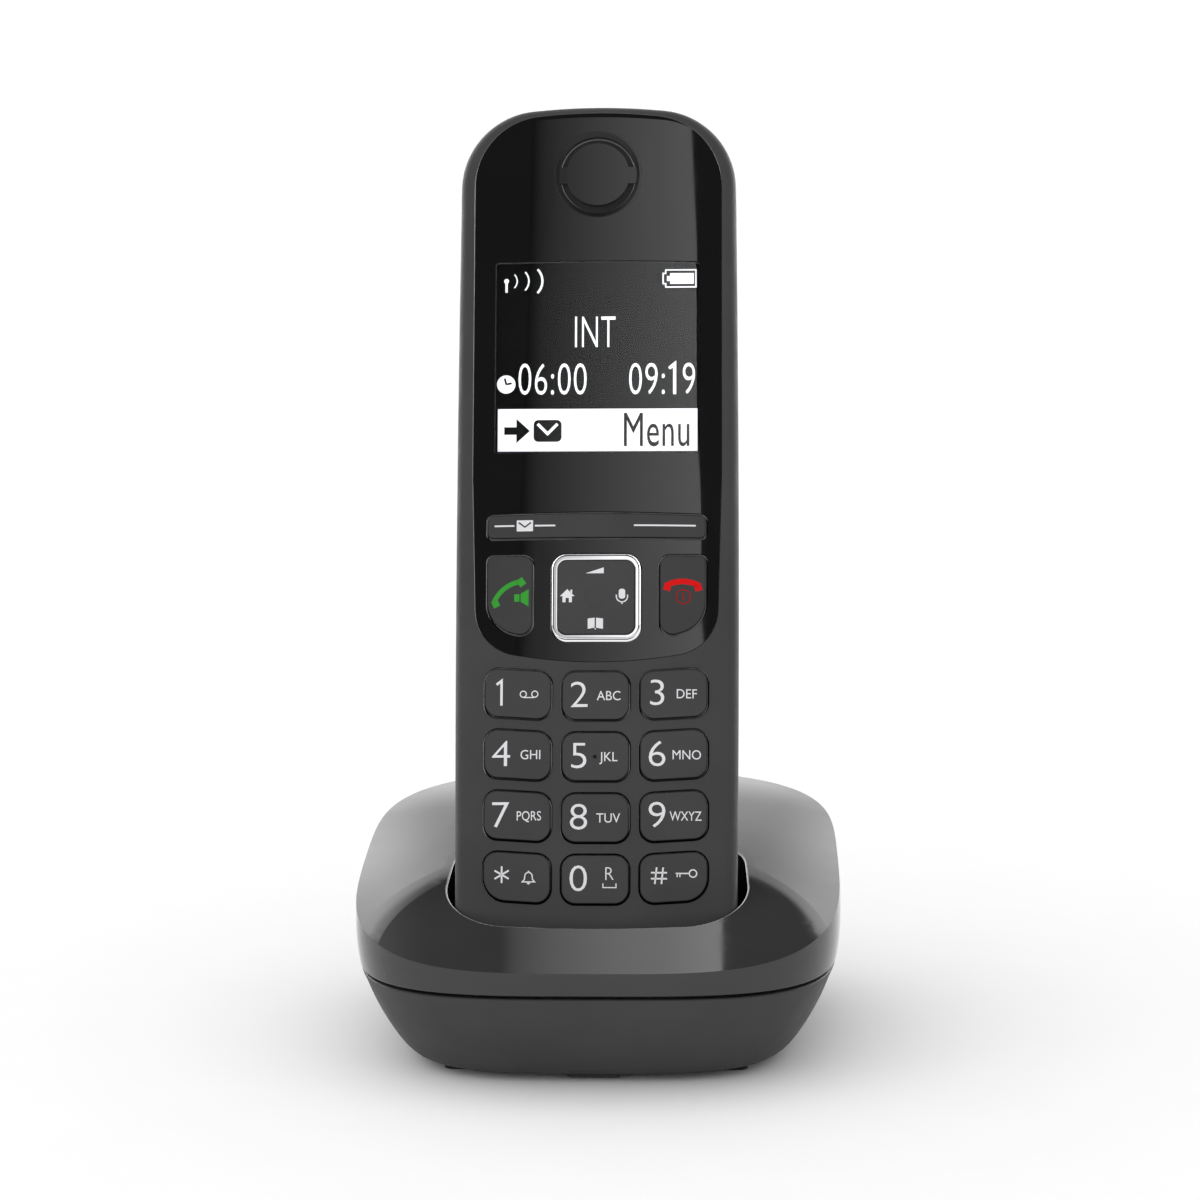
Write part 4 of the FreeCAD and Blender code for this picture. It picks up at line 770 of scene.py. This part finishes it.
def mirror_light(tree, across, along, height):
    """What mirror reflections see by their direction: a bright sweep behind the phone.

    The sweep is brighter to both sides and low down. Its middle is dark above, where the base's slope looks.
    """
    away = combined(tree, "MAXIMUM", along, 0.05)
    aside = combined(tree, "ADD", combined(tree, "DIVIDE", across, away), SWEEP_SHIFT)
    aside = combined(tree, "ABSOLUTE", aside, 0)
    above = rising(tree, height, 0.63, 0.69)
    inside = rising(tree, aside, 0.09, 0.15, 1.0, 0.0)
    shares = (
        rising(tree, height, 0.25, 0.38, 1.65, 1.0),
        rising(tree, height, 0.45, 0.60, 1.0, 0.8),
        combined(tree, "SUBTRACT", 1.0, combined(tree, "MULTIPLY", above, inside)),
        rising(tree, height, 0.69, 0.85, 1.0, 0.0),
        rising(tree, along, 0.0, 0.35),
    )
    light = rising(tree, aside, 0.105, 0.22, SWEEP_MIDDLE, SWEEP_SIDE)
    for share in shares:
        light = combined(tree, "MULTIPLY", light, share)
    return combined(tree, "ADD", light, MIRROR_DARK)


def studio_world():
    """White to the eye, soft light from all round and a little more from the left, and the mirror light."""
    world = bpy.data.worlds.new("studio")
    bpy.context.scene.world = world
    world.use_nodes = True
    tree = world.node_tree
    sky = tree.nodes["Background"]
    sky.inputs["Color"].default_value = (1, 1, 1, 1)
    where = tree.nodes.new("ShaderNodeTexCoord")
    split = tree.nodes.new("ShaderNodeSeparateXYZ")
    tree.links.new(where.outputs["Generated"], split.inputs["Vector"])
    across, along, height = split.outputs
    leaning = combined(tree, "MULTIPLY", across, -SKY_LEAN)
    path = tree.nodes.new("ShaderNodeLightPath")
    soft = tree.nodes.new("ShaderNodeMix")
    tree.links.new(path.outputs["Is Glossy Ray"], soft.inputs["Factor"])
    tree.links.new(combined(tree, "ADD", leaning, SKY_LIGHT), soft.inputs["A"])
    tree.links.new(mirror_light(tree, across, along, height), soft.inputs["B"])
    seen = tree.nodes.new("ShaderNodeMix")
    seen.inputs["B"].default_value = BACKDROP
    tree.links.new(path.outputs["Is Camera Ray"], seen.inputs["Factor"])
    tree.links.new(soft.outputs["Result"], seen.inputs["A"])
    tree.links.new(seen.outputs["Result"], sky.inputs["Strength"])


FLOOR_SIDE = 12.0
studio_world()
floor_paint = finish_of("floor", (0.9, 0.9, 0.9), 0.9, vary=0.005, bump=0, Specular_IOR_Level=0.0)
floor = stage_plane("floor", (0, 0, 0), ACROSS, (0, 1, 0), FLOOR_SIDE, FLOOR_SIDE)
floor.data.materials.append(floor_paint)

# The panel in front shows in the faceplate, and the panel above and behind shows in the base's front slope.
FRONT_STOPS = ((0.0, 0.0), (0.1, 0.19), (1.0, 1.0))
SLOPE_STOPS = ((0.0, 0.0), (0.08, 0.22), (0.25, 0.42), (0.5, 0.6), (0.75, 0.72), (1.0, 1.0))
softbox("front_softbox", (-0.0135, -1.2, 0.77), (0, -0.3, 1), 0.621, 0.78, 2.0, FRONT_STOPS)
softbox("slope_softbox", (-0.047, 0.81, 0.87), (0, -1, 1), 0.114, 0.6, 1.9, SLOPE_STOPS)

# The handset is kept out of the base's mirror image, so that the panel's streak runs right across the slope.
BASE_BODIES = ("base", "paging_key", "charge_pin_left", "charge_pin_right")
for piece in list(frame["nodes"].values()) + printed:
    if piece["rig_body"] not in BASE_BODIES:
        piece.visible_glossy = False


# ---------------------------------------------------------------- camera

AIM = Vector((0, 0, 0.0758))
DISTANCE = 0.6
ELEVATION = math.radians(8.5)
AZIMUTH = math.radians(2.6)
ROLL = math.radians(-0.5)
FIELD_OF_VIEW = math.radians(19.62)
SHIFT = 0.0008
CLIP_START = 0.01
camera = bpy.data.objects.new("camera", bpy.data.cameras.new("camera"))
bpy.context.scene.collection.objects.link(camera)
bpy.context.scene.camera = camera
level = math.cos(ELEVATION)
toward = Vector((math.sin(AZIMUTH) * level, -math.cos(AZIMUTH) * level, math.sin(ELEVATION)))
upright = toward.to_track_quat("Z", "Y").to_matrix()
camera.location = AIM + toward * DISTANCE
camera.rotation_euler = (upright @ Matrix.Rotation(ROLL, 3, "Z")).to_euler()
camera.data.angle = FIELD_OF_VIEW
camera.data.shift_x = SHIFT
camera.data.clip_start = CLIP_START
bpy.context.scene.view_settings.view_transform = "Standard"
